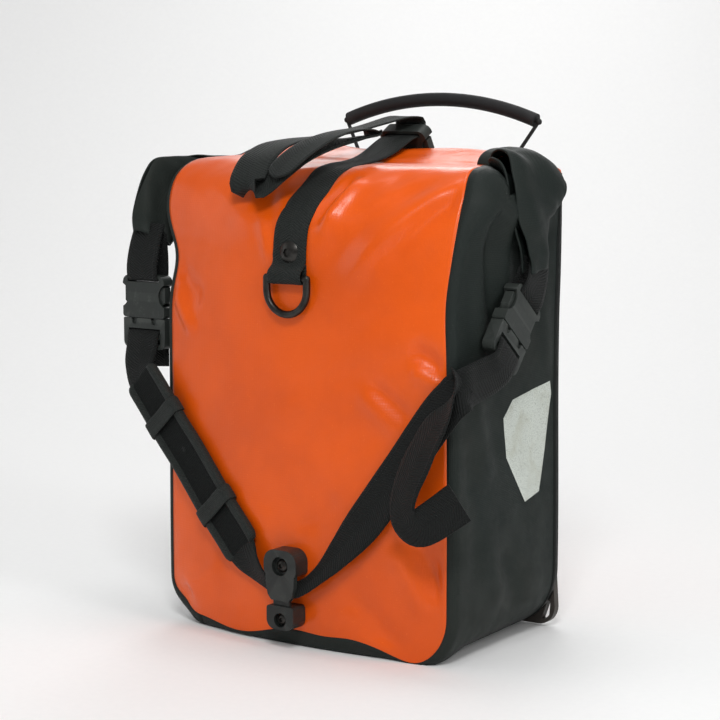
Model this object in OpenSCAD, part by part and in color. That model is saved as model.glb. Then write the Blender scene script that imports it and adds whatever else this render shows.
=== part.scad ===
// Roll-top pannier bag with a hook rail, sliding rack hooks, an arc rail with a lower
// hook, a shoulder strap with side-release buckles and a top closure strap.
// +X right seen from the front, -Y front (outer) face, +Y rack side, +Z up.
// The origin is the centre of the flat base.

/* [Body] */
// Width of the bag between the outer faces of the gusset
body_w = 216; // [212:1:220]
// Depth of the gusset, from the front seam to the back panel
body_d = 118; // [114:1:122]
// How far the filled front stands out in front of its side seams
front_crown = 14; // [12:1:15]
// Height of the rolled top above the base
body_h = 300; // [298:1:304]
// Radius of the two lower corners
corner_r = 38; // [34:1:40]
// Thickness of the coated fabric
fabric_t = 1.5; // [1.2:0.1:1.6]

/* [Rack hooks] */
// Distance from the centre plane to each rack hook at rest
hook_x = 57; // [55:1:59]
// Width of a rack hook along the rail
hook_w = 24; // [22:1:26]
// Radius of the rack tube that the hooks take
tube_r = 8; // [8:0.5:8]
// Height of the hook rail's middle
rail_z = 250; // [249:1:251]

/* [Lower rail] */
// Radius of the arc that the lower slider follows
arc_r = 240; // [236:1:244]
// Height of the slot's lowest point
arc_z = 91; // [90:1:92]

/* [Straps] */
// Width of the webbing
web_w = 25; // [22:1:25]
// Thickness of the webbing
web_t = 1.4; // [1.2:0.1:1.6]

/* [Hidden] */
$fn = 48;

orange = [0.86, 0.36, 0.09];
charcoal = [0.19, 0.2, 0.2];
black = [0.09, 0.09, 0.1];
grey = [0.3, 0.29, 0.28];
silver = [0.8, 0.81, 0.82];

half_w = body_w / 2;
seam_y = -body_d / 2;
front_y = seam_y - front_crown;
crown_r = (half_w * half_w + front_crown * front_crown) / (2 * front_crown);
back_y = body_d / 2;
gap = 0.1;
run_gap = 0.05;

// The shoulder is the big arc over which the front panel turns back to the roll.
shoulder_r = 52;
shoulder_z = 240;
shoulder_y = front_y + shoulder_r;
roll_front_y = 14;
roll_low_z = 268;

screw_r = 2;
nut_r = 4.5;
nut_t = 3;
stiffener_t = 1.5;
stiffener_y = back_y - fabric_t - gap - stiffener_t;
nut_y = stiffener_y - gap - nut_t;

/* Helpers */

// A flat outline in X and Z, given depth between two Y values.
module plate(y_low, y_high) {
  translate([0, y_high, 0])
    rotate([90, 0, 0])
      linear_extrude(y_high - y_low) children();
}

// A flat outline in Y and Z, given width between two X values.
module across(x_low, x_high) {
  translate([x_low, 0, 0])
    rotate([90, 0, 90])
      linear_extrude(x_high - x_low) children();
}

module both_sides() {
  children();
  mirror([1, 0, 0]) children();
}

// Puts local +Z along +Y at a point of the back face.
module facing_back(x, y, z) {
  translate([x, y, z]) rotate([-90, 0, 0]) children();
}

// Puts local +Z along -Y at a point of the front face.
module facing_front(x, y, z) {
  translate([x, y, z]) rotate([90, 0, 0]) children();
}

function arc(cx, cy, r, from, to, steps = 12) =
  [for (i = [0 : steps]) let (a = from + (to - from) * i / steps)
    [cx + r * cos(a), cy + r * sin(a)]];

// A rectangle with its own radius at each corner: low left, low right, high right, high left.
function round_box(x0, z0, x1, z1, r) = concat(
  arc(x0 + r[0], z0 + r[0], r[0], 180, 270, 8),
  arc(x1 - r[1], z0 + r[1], r[1], 270, 360, 8),
  arc(x1 - r[2], z1 - r[2], r[2], 0, 90, 8),
  arc(x0 + r[3], z1 - r[3], r[3], 90, 180, 8));

// Screw with a low domed head above z = 0 and its shank below, with a hex socket.
module screw(head_r, head_h, length, shank_r = screw_r) {
  dome_r = (head_r * head_r + head_h * head_h) / (2 * head_h);
  difference() {
    intersection() {
      cylinder(r = head_r, h = head_h);
      translate([0, 0, head_h - dome_r]) sphere(r = dome_r, $fn = 64);
    }
    translate([0, 0, head_h - 1.4]) cylinder(r = head_r * 0.4, h = 2, $fn = 6);
  }
  translate([0, 0, -length]) cylinder(r = shank_r, h = length + 0.2);
}

module nut() {
  difference() {
    cylinder(r = nut_r, h = nut_t, $fn = 6);
    translate([0, 0, -1]) cylinder(r = screw_r + run_gap, h = nut_t + 2);
  }
}

module drill(length = 200) {
  translate([0, 0, -length / 2]) cylinder(r = screw_r + gap, h = length);
}

/* Fasteners' places */

rail_screw_x = [-92, 0, 92];
lower_screw_x = 67;
lower_screw_z = 108;
guard_screw_x = 88;
guard_screw_z = 25;
guard_mid_z = 18;
retainer_top_z = 52;
retainer_low_z = 19;
top_screw_z = 240;

module back_drills() {
  for (x = rail_screw_x) facing_back(x, back_y, rail_z) drill(40);
  for (x = [-lower_screw_x, lower_screw_x]) facing_back(x, back_y, lower_screw_z) drill(40);
  for (x = [-guard_screw_x, guard_screw_x]) facing_back(x, back_y, guard_screw_z) drill(40);
  facing_back(0, back_y, guard_mid_z) drill(40);
}

module front_drills() {
  facing_front(0, front_y, retainer_top_z) drill(40);
  facing_front(0, front_y, retainer_low_z) drill(40);
  facing_front(0, front_y, top_screw_z) drill(40);
}

/* Bag */

// Front outline, wide at the shoulders and with round lower corners.
module face_outline(inset = 0) {
  w = half_w - inset;
  r = corner_r - inset;
  polygon(concat(
    arc(-w + r, inset + r, r, 180, 270, 10),
    arc(w - r, inset + r, r, 270, 360, 10),
    [[w, shoulder_z], [w - 7, body_h], [-w + 7, body_h], [-w, shoulder_z]]));
}

// Side outline under the front panel, between the front and back panels.
module side_outline(inset) {
  polygon(concat(
    [[back_y - inset, -1], [back_y - inset, roll_low_z - 0.6],
     [roll_front_y - 0.5, roll_low_z - 0.6],
     [roll_front_y - 0.5, shoulder_z + shoulder_r - inset]],
    arc(shoulder_y, shoulder_z, shoulder_r - inset, 90, 180),
    [[front_y + inset, -1]]));
}

// The space behind the crowned front, inset from its outer surface.
module crown(inset) {
  translate([0, front_y + crown_r, -10]) cylinder(r = crown_r - inset, h = body_h + 20, $fn = 360);
}

module front_panel() {
  color(orange)
    difference() {
      intersection() {
        plate(-100, 100) face_outline();
        across(-half_w, half_w) side_outline(0);
        crown(0);
      }
      intersection() {
        across(-half_w - 1, half_w + 1) side_outline(fabric_t);
        crown(fabric_t);
      }
      translate([-200, shoulder_y + 1, -2]) cube([400, 300, roll_low_z + 2]);
      translate([-200, roll_front_y - 0.7, 0]) cube([400, 300, 400]);
      front_drills();
    }
}

module back_panel() {
  color(orange)
    difference() {
      intersection() {
        plate(back_y - fabric_t, back_y) face_outline();
        translate([-200, 0, 0]) cube([400, 100, roll_low_z - 0.6]);
      }
      back_drills();
    }
}

module gusset() {
  wall = fabric_t + gap;
  color(charcoal)
    intersection() {
      plate(-100, 100)
        difference() {
          face_outline();
          difference() {
            face_outline(fabric_t);
            translate([-200, -400]) square([400, 400]);
          }
          translate([-half_w + 8, roll_low_z]) square([body_w - 16, 100]);
        }
      across(-half_w, half_w) side_outline(wall);
      crown(wall);
    }
}

roll_y0 = roll_front_y;
roll_y1 = back_y - 2;
roll_half = 103;

module roll_section() {
  polygon(round_box(roll_y0, roll_low_z, roll_y1, body_h, [8, 4, 20, 12]));
}

// Each end of the roll folds down into a flat ear beside the gusset. The left ear
// reaches forward to the left buckle, and the right ear hangs down the side.
module left_ear() {
  side = half_w + 0.4;
  across(-side - 13, -side)
    polygon([[50, 272], [50, 296], [14, 298], [-30, 295], [-50, 278], [-55.5, 262],
             [-54, 241.5], [-38, 241.5], [-24, 258], [14, 271]]);
  plate(-55.5, -40)
    polygon([[-side - 8, 284], [-137, 262], [-130, 241.5], [-side - 5, 241.5]]);
}

module right_ear() {
  side = half_w + 0.4;
  across(side, side + 13)
    polygon([[50, 272], [50, 296], [14, 298], [-4, 288], [-4, 258], [4, 240],
             [12, 228], [30, 228], [38, 246], [42, 270]]);
}

module roll_top() {
  color(orange)
    difference() {
      union() {
        across(-roll_half, roll_half) roll_section();
        across(-half_w - 4, half_w + 4)
          polygon(round_box(roll_y0 + 6, roll_low_z + 4, 48, 295, [3, 3, 6, 6]));
        left_ear();
        right_ear();
      }
      across(-roll_half + 2, roll_half - 2)
        translate([33, roll_low_z + 4]) square([2.4, 24]);
    }
}

module roll_stiffener() {
  color(black)
    across(-roll_half + 3, roll_half - 3)
      translate([33.2, roll_low_z + 4.3]) square([2, 23.4]);
}

module back_stiffener() {
  color(black)
    difference() {
      plate(stiffener_y, stiffener_y + stiffener_t)
        polygon(round_box(-98, 12, 98, 266, [26, 26, 6, 6]));
      back_drills();
    }
}

module reflector_shape() {
  polygon([[-4, 141], [7, 151], [49, 158], [51, 150], [36, 91], [19, 87], [-2, 117]]);
}

module right_reflector() {
  color(silver) across(half_w + gap, half_w + 0.8) reflector_shape();
}

// The same patch on the other side, turned and not mirrored.
module left_reflector() {
  rotate([0, 0, 180]) right_reflector();
}

/* Back hardware */

arc_cz = arc_z + arc_r;
scuff_y = back_y + gap;
scuff_t = 1.3;
rail_y = back_y + gap;
rail_face_y = back_y + 7;
lower_y = scuff_y + scuff_t + gap;
lower_face_y = back_y + 8;

module scuff_plate() {
  color(black)
    difference() {
      plate(scuff_y, scuff_y + scuff_t)
        difference() {
          polygon([[-86, 27], [86, 27], [88, 60], [80, 100], [76, 117], [-76, 117],
                   [-80, 100], [-88, 60]]);
          translate([0, arc_cz]) circle(r = arc_r - 12, $fn = 200);
        }
      back_drills();
    }
}

module edge_guard() {
  guard_y = back_y + gap;
  color(grey)
    difference() {
      union() {
        plate(guard_y, guard_y + 5)
          polygon(concat(
            arc(-95, 13, 12, 180, 270, 8), arc(95, 13, 12, 270, 360, 8),
            [[105, 44], [100, 44], [88, 34], [76, 23], [30, 20], [16, 26.5], [-16, 26.5],
             [-30, 20], [-76, 23], [-88, 34], [-100, 44], [-105, 44]]));
        both_sides() facing_back(guard_screw_x, guard_y, guard_screw_z) cylinder(r = 7.5, h = 6.2);
        facing_back(0, guard_y, guard_mid_z) cylinder(r = 8, h = 6.2);
      }
      both_sides()
        plate(0, 100)
          polygon([[97.5, 4.5], [100, 4.5], [103, 7.5], [103.8, 16], [102, 17]]);
      // recess over the lower edge of the scuff plate
      translate([-90, 0, 26.7]) cube([180, scuff_y + scuff_t + gap, 40]);
      back_drills();
    }
}

module guard_screws() {
  head_y = back_y + gap + 6.2 + run_gap;
  length = head_y - nut_y;
  color(black) {
    both_sides() facing_back(guard_screw_x, head_y, guard_screw_z) screw(4.6, 2, length);
    facing_back(0, head_y, guard_mid_z) screw(4.6, 2, length);
  }
}

rail_half = 102;
rail_flange = 17;
rail_web = 11;
notch_pitch = 5.2;

module hook_rail() {
  color(black)
    difference() {
      union() {
        plate(rail_y, rail_face_y)
          polygon(round_box(-rail_half + 4, rail_z - rail_web, rail_half - 4,
                            rail_z + rail_web, [8, 8, 8, 8]));
        plate(rail_face_y - 3, rail_face_y)
          polygon([[-rail_half, rail_z - 6], [-rail_half + 4, rail_z - 13],
                   [-84, rail_z - rail_flange], [84, rail_z - rail_flange],
                   [rail_half - 4, rail_z - 13], [rail_half, rail_z - 6],
                   [rail_half, rail_z + 6], [rail_half - 4, rail_z + 13],
                   [84, rail_z + rail_flange], [-84, rail_z + rail_flange],
                   [-rail_half + 4, rail_z + 13], [-rail_half, rail_z + 6]]);
      }
      // steps in the flanges: for the strap above, and below the middle screw
      plate(rail_face_y - 4, rail_face_y + 1)
        translate([-4, rail_z + rail_web + 2.5]) square([24, 10]);
      plate(rail_face_y - 4, rail_face_y + 1)
        translate([-24, rail_z - rail_flange - 1]) square([48, 4.5]);
      // index notches beside each hook
      for (side = [-1, 1])
        for (i = [0 : 8])
          plate(rail_face_y - 0.8, rail_face_y + 1)
            translate([side * hook_x - 21 + i * notch_pitch, rail_z - 2])
              difference() {
                circle(r = 5);
                translate([1.6, 0]) circle(r = 5);
              }
      // slot near each end
      for (side = [-1, 1])
        plate(rail_face_y - 2, rail_face_y + 1)
          translate([side * 82 - 4, rail_z + 7.5]) square([8, 2.2]);
      back_drills();
    }
}

module rail_screws() {
  head_y = rail_face_y + run_gap;
  color(black)
    for (x = rail_screw_x)
      facing_back(x, head_y, rail_z) screw(5.8, 2.6, head_y - nut_y);
}

module arc_wedge(half_angle) {
  reach = arc_r + 40;
  polygon([[0, arc_cz], [-reach * tan(half_angle), arc_cz - reach],
           [reach * tan(half_angle), arc_cz - reach]]);
}

module arc_band(r_low, r_high, half_angle) {
  intersection() {
    difference() {
      translate([0, arc_cz]) circle(r = r_high, $fn = 200);
      translate([0, arc_cz]) circle(r = r_low, $fn = 200);
    }
    arc_wedge(half_angle);
  }
}

slot_half_angle = 14.2;

module lower_rail() {
  color(grey)
    difference() {
      union() {
        plate(lower_y, lower_face_y) arc_band(arc_r - 9, arc_r + 9, 15.6);
        both_sides()
          facing_back(lower_screw_x, lower_y, lower_screw_z - 1)
            cylinder(r = 10, h = lower_face_y - lower_y);
      }
      plate(0, 100) arc_band(arc_r - 3, arc_r + 3, slot_half_angle);
      plate(0, lower_y + 2.8) arc_band(arc_r - 6.4, arc_r + 6.4, slot_half_angle);
      back_drills();
    }
}

module lower_rail_screws() {
  head_y = lower_face_y + run_gap;
  color(black)
    both_sides()
      facing_back(lower_screw_x, head_y, lower_screw_z) screw(5, 2, head_y - nut_y);
}

module inner_nuts() {
  color(silver) {
    for (x = rail_screw_x) facing_back(x, nut_y, rail_z) nut();
    for (x = [-lower_screw_x, lower_screw_x]) facing_back(x, nut_y, lower_screw_z) nut();
    for (x = [-guard_screw_x, guard_screw_x]) facing_back(x, nut_y, guard_screw_z) nut();
    facing_back(0, nut_y, guard_mid_z) nut();
    for (z = [retainer_low_z, retainer_top_z])
      facing_front(0, front_y + fabric_t + gap + nut_t, z) nut();
    facing_front(0, front_y + fabric_t + 4 * gap + nut_t, top_screw_z) nut();
  }
}

/* Lower hook */

slider_half_angle = 1.6;
root_y = lower_face_y + gap;
root_top_y = lower_face_y + 12;
root_r = 11;
finger_y = lower_face_y + 9;
finger_top_y = lower_face_y + 17;
finger_angle = 161;
finger_length = 46;
knob_r = 11.5;

module lower_slider() {
  color(black)
    difference() {
      union() {
        plate(lower_y + 0.3, lower_y + 2.6) arc_band(arc_r - 6, arc_r + 6, slider_half_angle);
        plate(lower_y + 2.5, lower_face_y) arc_band(arc_r - 2.8, arc_r + 2.8, 0.65);
      }
      facing_back(0, 0, arc_z) translate([0, 0, lower_y]) cylinder(r = screw_r + run_gap, h = 20);
    }
}

module lower_hook() {
  inner = knob_r + 1;
  color(grey)
    difference() {
      union() {
        facing_back(0, root_y, arc_z) cylinder(r = root_r, h = root_top_y - root_y);
        plate(finger_y, root_top_y)
          translate([0, arc_z]) rotate(finger_angle)
            polygon([[0, 9.5], [0, -9.5], [inner + 3, -9.5], [inner + 3, 9.5]]);
        plate(finger_y, finger_top_y)
          translate([0, arc_z]) rotate(finger_angle)
            polygon([[inner, -9.5], [finger_length - 4, -7], [finger_length, -3],
                     [finger_length - 1.5, 6], [finger_length - 6, 8.5], [inner, 9.5]]);
      }
      facing_back(0, 0, arc_z) cylinder(r = screw_r + gap, h = 200);
    }
}

// Round knob with three moulded recesses, on the screw that clamps the slider.
module lower_hook_screw() {
  head_y = root_top_y + gap;
  head_t = 4.6;
  color(black)
    facing_back(0, head_y, arc_z)
      difference() {
        union() {
          cylinder(r = knob_r, h = head_t - 1.4);
          translate([0, 0, head_t - 1.5]) cylinder(r1 = knob_r - 0.3, r2 = knob_r - 2.2, h = 1.5);
          translate([0, 0, lower_y + 0.4 - head_y]) cylinder(r = screw_r, h = head_y - lower_y);
        }
        for (turn = [0, 120, 240])
          rotate([0, 0, turn])
            translate([-1, 2.4, head_t - 0.9]) cube([2, 5.4, 4]);
      }
}

/* Rack hooks. The profile is drawn in Y and Z. */

seat_y = rail_face_y + gap + 7.4 + tube_r;
seat_z = 276;
hook_back_y = rail_face_y + gap;
hook_tip_y = seat_y + tube_r + 10;
pivot_y = seat_y + 3;
pivot_z = seat_z + tube_r + 6.5;
pin_r = 2;
slot_half = 5.2;
latch_slot_half = 2.7;
tip_wall = 1.6;

module hook_profile() {
  claw_y = rail_face_y - 3 - 0.4;
  union() {
    // back wall, foot and the arch over the tube, whose seat is cut afterwards
    polygon(concat(
      [[hook_back_y, rail_z - rail_flange - 4.5], [hook_back_y + 5, rail_z - rail_flange - 4.5],
       [seat_y - tube_r, rail_z - 4], [seat_y - tube_r, seat_z - 8],
       [seat_y - tube_r + 2, seat_z + 2], [seat_y + tube_r - 2, seat_z + 2],
       [seat_y + tube_r, seat_z - 8], [seat_y + tube_r + 1, seat_z - 13]],
      arc(hook_tip_y - 3, seat_z - 13.5, 3, 270, 360, 6),
      [[hook_tip_y, seat_z + 6]],
      arc(seat_y + 4, seat_z + 9.5, 11.5, 0, 90, 8),
      arc(hook_back_y + 8, seat_z + 13, 8, 90, 180, 8)));
    // claws behind the rail's flanges
    for (side = [0, 1])
      translate([0, rail_z]) mirror([0, side]) {
        translate([claw_y - 2.6, rail_web + 1.2])
          square([2.6, rail_flange - rail_web + 2]);
        translate([claw_y - 2.6, rail_flange + gap])
          square([hook_back_y - claw_y + 3.6, 4.4]);
      }
  }
}

// side is the side of the hook where the handle's cord leaves: 1 or -1.
module rack_hook(side) {
  tip_in = seat_y + tube_r;
  tip_out = hook_tip_y - tip_wall;
  hub_front = pivot_y - 5.5;
  hub_low = seat_z + tube_r + 1.2;
  color(black)
    difference() {
      across(-hook_w / 2, hook_w / 2) hook_profile();
      // seat for the rack tube, and the throat below it
      translate([-20, seat_y, seat_z]) rotate([0, 90, 0]) cylinder(r = tube_r, h = 40);
      translate([-20, seat_y - tube_r - 0.02, seat_z - 8.4]) cube([40, 2 * tube_r + 0.04, 8]);
      // slot for the latch, closed at the outer face
      translate([-latch_slot_half, tip_in - 2, seat_z - 30])
        cube([2 * latch_slot_half, tip_out - tip_in + 2, 28]);
      translate([-latch_slot_half, tip_in + 0.6, seat_z - 4])
        cube([2 * latch_slot_half, tip_out - tip_in - 0.6, 40]);
      translate([-latch_slot_half, hub_front, hub_low])
        cube([2 * latch_slot_half, tip_out - hub_front, 40]);
      // wider pocket for the hub, the spring and the cord's eye
      translate([-slot_half, hub_front, hub_low]) cube([2 * slot_half, 11, 40]);
      // low cheek where the cord leaves
      translate([side > 0 ? 0 : -slot_half - 5, hub_front, pivot_z + 3.5])
        cube([slot_half + 5, 11, 40]);
      // bore for the latch pin
      translate([-20, pivot_y, pivot_z]) rotate([0, 90, 0]) cylinder(r = pin_r + run_gap, h = 40);
      // the tip narrows towards its end
      for (flip = [0, 1])
        mirror([flip, 0, 0])
          plate(tip_in - 0.3, hook_tip_y + 1)
            polygon([[hook_w / 2 + 1, seat_z + 8], [hook_w / 2 + 1, seat_z - 30],
                     [4.5, seat_z - 30], [6.2, seat_z - 15], [8.6, seat_z - 8],
                     [hook_w / 2 - 0.8, seat_z + 2]]);
      // chamfered foot
      translate([hook_w / 2 + 1, 0, rail_z - rail_flange - 5.5])
        rotate([0, 45, 0]) cube([9, 400, 9], center = true);
      // parting lines on the clamp base
      translate([-hook_w / 2 - 1, seat_y - tube_r - 1.6, rail_z - 3]) cube([hook_w + 2, 10, 0.7]);
      translate([-0.4, seat_y - tube_r - 1.6, rail_z - 3]) cube([0.8, 10, 11]);
    }
}

module left_hook() {
  translate([-hook_x, 0, 0]) rack_hook(-1);
}

module right_hook() {
  translate([hook_x, 0, 0]) rack_hook(1);
}

module latch_pin() {
  color(silver)
    translate([-hook_w / 2, pivot_y, pivot_z]) rotate([0, 90, 0]) cylinder(r = pin_r, h = hook_w);
}

module left_latch_pin() {
  mirror([1, 0, 0]) right_latch_pin();
}

module right_latch_pin() {
  translate([hook_x, 0, 0]) latch_pin();
}

// Return spring: three turns of wire round the latch pin.
module latch_spring() {
  color(silver)
    for (i = [0 : 2])
      translate([-slot_half + 0.7 + i * 0.85, pivot_y, pivot_z])
        rotate([0, 90, 0])
          rotate_extrude() translate([pin_r + 0.6, 0]) circle(r = 0.36, $fn = 16);
}

module left_latch_spring() {
  mirror([1, 0, 0]) right_latch_spring();
}

module right_latch_spring() {
  translate([hook_x, 0, 0]) latch_spring();
}

latch_x0 = -2.2;
latch_x1 = 2.2;

// Gate that closes part of the throat under the rack tube.
module latch() {
  arm_in = seat_y + tube_r + 0.9;
  nose_in = seat_y + 3.6;
  color(grey)
    difference() {
      union() {
        translate([latch_x0, pivot_y, pivot_z])
          rotate([0, 90, 0]) cylinder(r = 4, h = latch_x1 - latch_x0);
        across(latch_x0, latch_x1)
          polygon([[pivot_y - 1, pivot_z + 3.8], [pivot_y + 3, pivot_z + 2.6],
                   [arm_in + 3, pivot_z - 4], [arm_in + 2, seat_z - 10.5],
                   [arm_in, seat_z - 12.5], [nose_in + 0.5, seat_z - 12.5],
                   [nose_in, seat_z - tube_r - 1.5], [arm_in, seat_z - tube_r - 0.8],
                   [arm_in, seat_z + 9.8], [pivot_y + 3.2, pivot_z - 2.4]]);
      }
      translate([-20, pivot_y, pivot_z]) rotate([0, 90, 0]) cylinder(r = pin_r + run_gap, h = 40);
    }
}

module left_latch() {
  mirror([1, 0, 0]) right_latch();
}

module right_latch() {
  translate([hook_x, 0, 0]) latch();
}

/* Handle */

grip_half = 72;
grip_z = pivot_z + 39;
grip_y = pivot_y + 5;
grip_sag = 13;
grip_arc_r = (grip_half * grip_half + grip_sag * grip_sag) / (2 * grip_sag);
grip_angle = asin(grip_half / grip_arc_r);
grip_r = 4.4;
cord_r = 1.5;
eye_x0 = 2.5;
eye_x1 = 5;

module grip_arc(r_ring, r_bore) {
  translate([0, grip_y, grip_z - grip_arc_r])
    rotate([90, 0, 0])
      rotate([0, 0, 90 - grip_angle])
        rotate_extrude(angle = 2 * grip_angle, $fn = 160)
          translate([grip_arc_r, 0])
            difference() {
              circle(r = r_ring, $fn = 32);
              circle(r = r_bore, $fn = 32);
            }
}

module handle_grip() {
  color(black) grip_arc(grip_r, cord_r + run_gap);
}

// A straight round bar between two points.
module bar(from, to, r) {
  d = to - from;
  len = norm(d);
  translate(from)
    rotate([0, acos(d[2] / len), atan2(d[1], d[0])])
      cylinder(r = r, h = len);
}

module handle_cord() {
  eye_x = hook_x + (eye_x0 + eye_x1) / 2;
  end_z = grip_z - grip_sag;
  color(black) {
    translate([0, grip_y, grip_z - grip_arc_r])
      rotate([90, 0, 0])
        rotate([0, 0, 90 - grip_angle - 0.8])
          rotate_extrude(angle = 2 * grip_angle + 1.6, $fn = 160)
            translate([grip_arc_r, 0]) circle(r = cord_r, $fn = 32);
    both_sides() {
      translate([grip_half + 2, grip_y, end_z - 0.8]) sphere(r = cord_r + 0.6);
      bar([grip_half + 2, grip_y, end_z - 0.8], [eye_x, pivot_y, pivot_z + 4], cord_r - 0.3);
      difference() {
        translate([eye_x - 1.2, pivot_y, pivot_z]) rotate([0, 90, 0]) cylinder(r = 4.4, h = 2.4);
        translate([0, pivot_y, pivot_z]) rotate([0, 90, 0]) cylinder(r = pin_r + run_gap, h = 200);
      }
    }
  }
}

/* Strap retainer */

retainer_face = front_y - 12.6;
bridge_y = front_y - 9;

module strap_retainer() {
  color(black)
    difference() {
      union() {
        plate(retainer_face, front_y - gap) polygon(round_box(-12, 46, 12, 62, [3, 3, 8, 8]));
        plate(retainer_face, front_y - gap) polygon(round_box(-10, 13, 10, 27.6, [6, 6, 2, 2]));
        // tongue over the strap, and the thinner neck below it
        plate(retainer_face, bridge_y)
          polygon([[-10.6, 48], [-10.4, 40], [-9, 34], [-6.5, 31], [6.5, 31], [9, 34], [10.4, 40],
                   [10.6, 48]]);
        plate(retainer_face + 1.6, bridge_y) translate([-6, 25]) square([12, 8]);
      }
      facing_front(0, front_y, retainer_top_z) translate([0, 0, 9.6]) cylinder(r = 5.8, h = 20);
      facing_front(0, front_y, retainer_low_z) translate([0, 0, 9.6]) cylinder(r = 4.4, h = 20);
      front_drills();
    }
}

module retainer_screws() {
  head_y = front_y - 9.6 - run_gap;
  length = front_y + fabric_t + gap + nut_t - head_y;
  color(silver) {
    facing_front(0, head_y, retainer_top_z) screw(4.2, 2, length);
    facing_front(0, head_y, retainer_low_z) screw(3.8, 2, length);
  }
}

/* Top strap and D-ring */

ring_r = 2.25;
ring_bar_z = 225;
ring_y = front_y - 4.4;
ring_half = 14.75;
strap_gap = 0.3;

// Band that follows the front panel and its shoulder, at a distance from the fabric.
module over_front(distance, thickness, z_low, y_end) {
  r0 = shoulder_r + distance;
  r1 = r0 + thickness;
  polygon(concat(
    [[front_y - distance, z_low]],
    arc(shoulder_y, shoulder_z, r0, 180, 90),
    [[y_end, shoulder_z + r0], [y_end, shoulder_z + r1]],
    arc(shoulder_y, shoulder_z, r1, 90, 180),
    [[front_y - distance - thickness, z_low]]));
}

// Part of the same band, on the shoulder alone.
module on_shoulder(distance, thickness, from, to) {
  polygon(concat(
    arc(shoulder_y, shoulder_z, shoulder_r + distance, from, to),
    arc(shoulder_y, shoulder_z, shoulder_r + distance + thickness, to, from)));
}

module top_strap() {
  half = web_w / 2 - 0.4;
  color(black)
    difference() {
      union() {
        across(-half, half) over_front(strap_gap, web_t, ring_bar_z, 5);
        across(-half, half)
          polygon([[4, 292.3], [4, 293.7], [14, 302.2], [40, 311], [40.5, 309.6], [14.6, 300.6]]);
        translate([-half, ring_y, ring_bar_z]) rotate([0, 90, 0])
          cylinder(r = ring_r + 1.5, h = 2 * half);
      }
      translate([-50, ring_y, ring_bar_z]) rotate([0, 90, 0]) cylinder(r = ring_r + gap, h = 100);
      facing_front(0, front_y, top_screw_z) drill(40);
    }
}

module top_strap_tail() {
  half = web_w / 2 - 1;
  color(black)
    translate([-web_w - 1, 0, 0])
      across(-half, half) on_shoulder(strap_gap, web_t, 168, 96);
}

module top_strap_screw() {
  head_y = front_y - strap_gap - web_t - run_gap;
  color(black)
    facing_front(0, head_y, top_screw_z)
      screw(7, 2.6, front_y + fabric_t + gap + nut_t - head_y);
}

module d_ring() {
  leg = 7;
  color(black)
    translate([0, ring_y, ring_bar_z]) {
      translate([-ring_half, 0, 0]) rotate([0, 90, 0]) cylinder(r = ring_r, h = 2 * ring_half);
      both_sides() {
        translate([ring_half, 0, 0]) sphere(r = ring_r);
        translate([ring_half, 0, -leg]) cylinder(r = ring_r, h = leg);
      }
      translate([0, 0, -leg])
        rotate([90, 0, 0])
          rotate([0, 0, 180])
            rotate_extrude(angle = 180) translate([ring_half, 0]) circle(r = ring_r);
    }
}

// Webbing from the hook rail's middle screw up to the top buckle.
module rail_strap() {
  color(black)
    across(-web_w / 2, web_w / 2)
      polygon([[rail_face_y + 0.3, rail_z + 7], [rail_face_y + 1.7, rail_z + 7],
               [rail_face_y + 4.6, rail_z + rail_flange + 1.8],
               [rail_face_y + 3.2, rail_z + rail_flange + 1.3]]);
}

/* Side-release buckles. Local X is across, Z along the strap, Y through the buckle. */

buckle_half = 17;
socket_len = 27;
plug_len = 20;
socket_half_t = 4.5;
cavity_half = 13.5;
cavity_half_t = 3.1;
arm_hub_x = 8;
arm_hub_r = 2;
window_z = [7.5, 20.6];

module socket() {
  color(grey)
    difference() {
      plate(-socket_half_t, socket_half_t)
        polygon(round_box(-buckle_half, 0, buckle_half, socket_len, [2, 2, 5, 5]));
      translate([-cavity_half, -cavity_half_t, -1])
        cube([2 * cavity_half, 2 * cavity_half_t, 22.5]);
      translate([-30, -cavity_half_t, window_z[0]])
        cube([60, 2 * cavity_half_t, window_z[1] - window_z[0]]);
      // side notches that show the buttons
      for (side = [-1, 1])
        translate([side * (buckle_half + 3.4), 30, 14]) rotate([90, 0, 0])
          cylinder(r = 8, h = 60);
      // slot for the webbing
      translate([-13, -20, 22.6]) cube([26, 40, 2.4]);
    }
}

module plug() {
  tongue_half = 2.6;
  color(grey)
    difference() {
      union() {
        plate(-4, 4) polygon(round_box(-buckle_half, -plug_len, buckle_half, -0.4, [5, 5, 1, 1]));
        plate(-2.7, 2.7) translate([-tongue_half, -1]) square([2 * tongue_half, 20]);
      }
      for (z = [-plug_len + 3.2, -plug_len + 9.6])
        translate([-13, -20, z]) cube([26, 40, 3.4]);
      // cups for the two arms
      for (side = [-1, 1])
        translate([side * arm_hub_x, 30, -2.4]) rotate([90, 0, 0])
          cylinder(r = arm_hub_r + run_gap, h = 60);
      for (side = [-1, 1])
        translate([side * arm_hub_x - 2.4, -20, -1.4]) cube([4.8, 40, 3]);
    }
}

// One arm of the plug, with the button that shows in the socket's side window.
module plug_arm(side) {
  color(grey)
    mirror([side < 0 ? 1 : 0, 0, 0]) {
      translate([arm_hub_x, 2.7, -2.4]) rotate([90, 0, 0]) cylinder(r = arm_hub_r, h = 5.4);
      plate(-2.7, 2.7)
        polygon([[7, -2], [9, -2], [9.6, 8.4], [14.6, 8.4], [16.4, 10.5], [16.4, 19.4],
                 [14, 20], [9, 20], [7.4, 17.5]]);
    }
}

module place_left() {
  translate([-128, seam_y + 5, 192]) children();
}

module place_right() {
  translate([half_w + 6.2, -11, 193]) rotate([-40, 0, 0]) rotate([0, 0, 90]) children();
}

module place_top() {
  translate([0, 60.8, 288.5]) rotate([30, 0, 0]) children();
}

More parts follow.
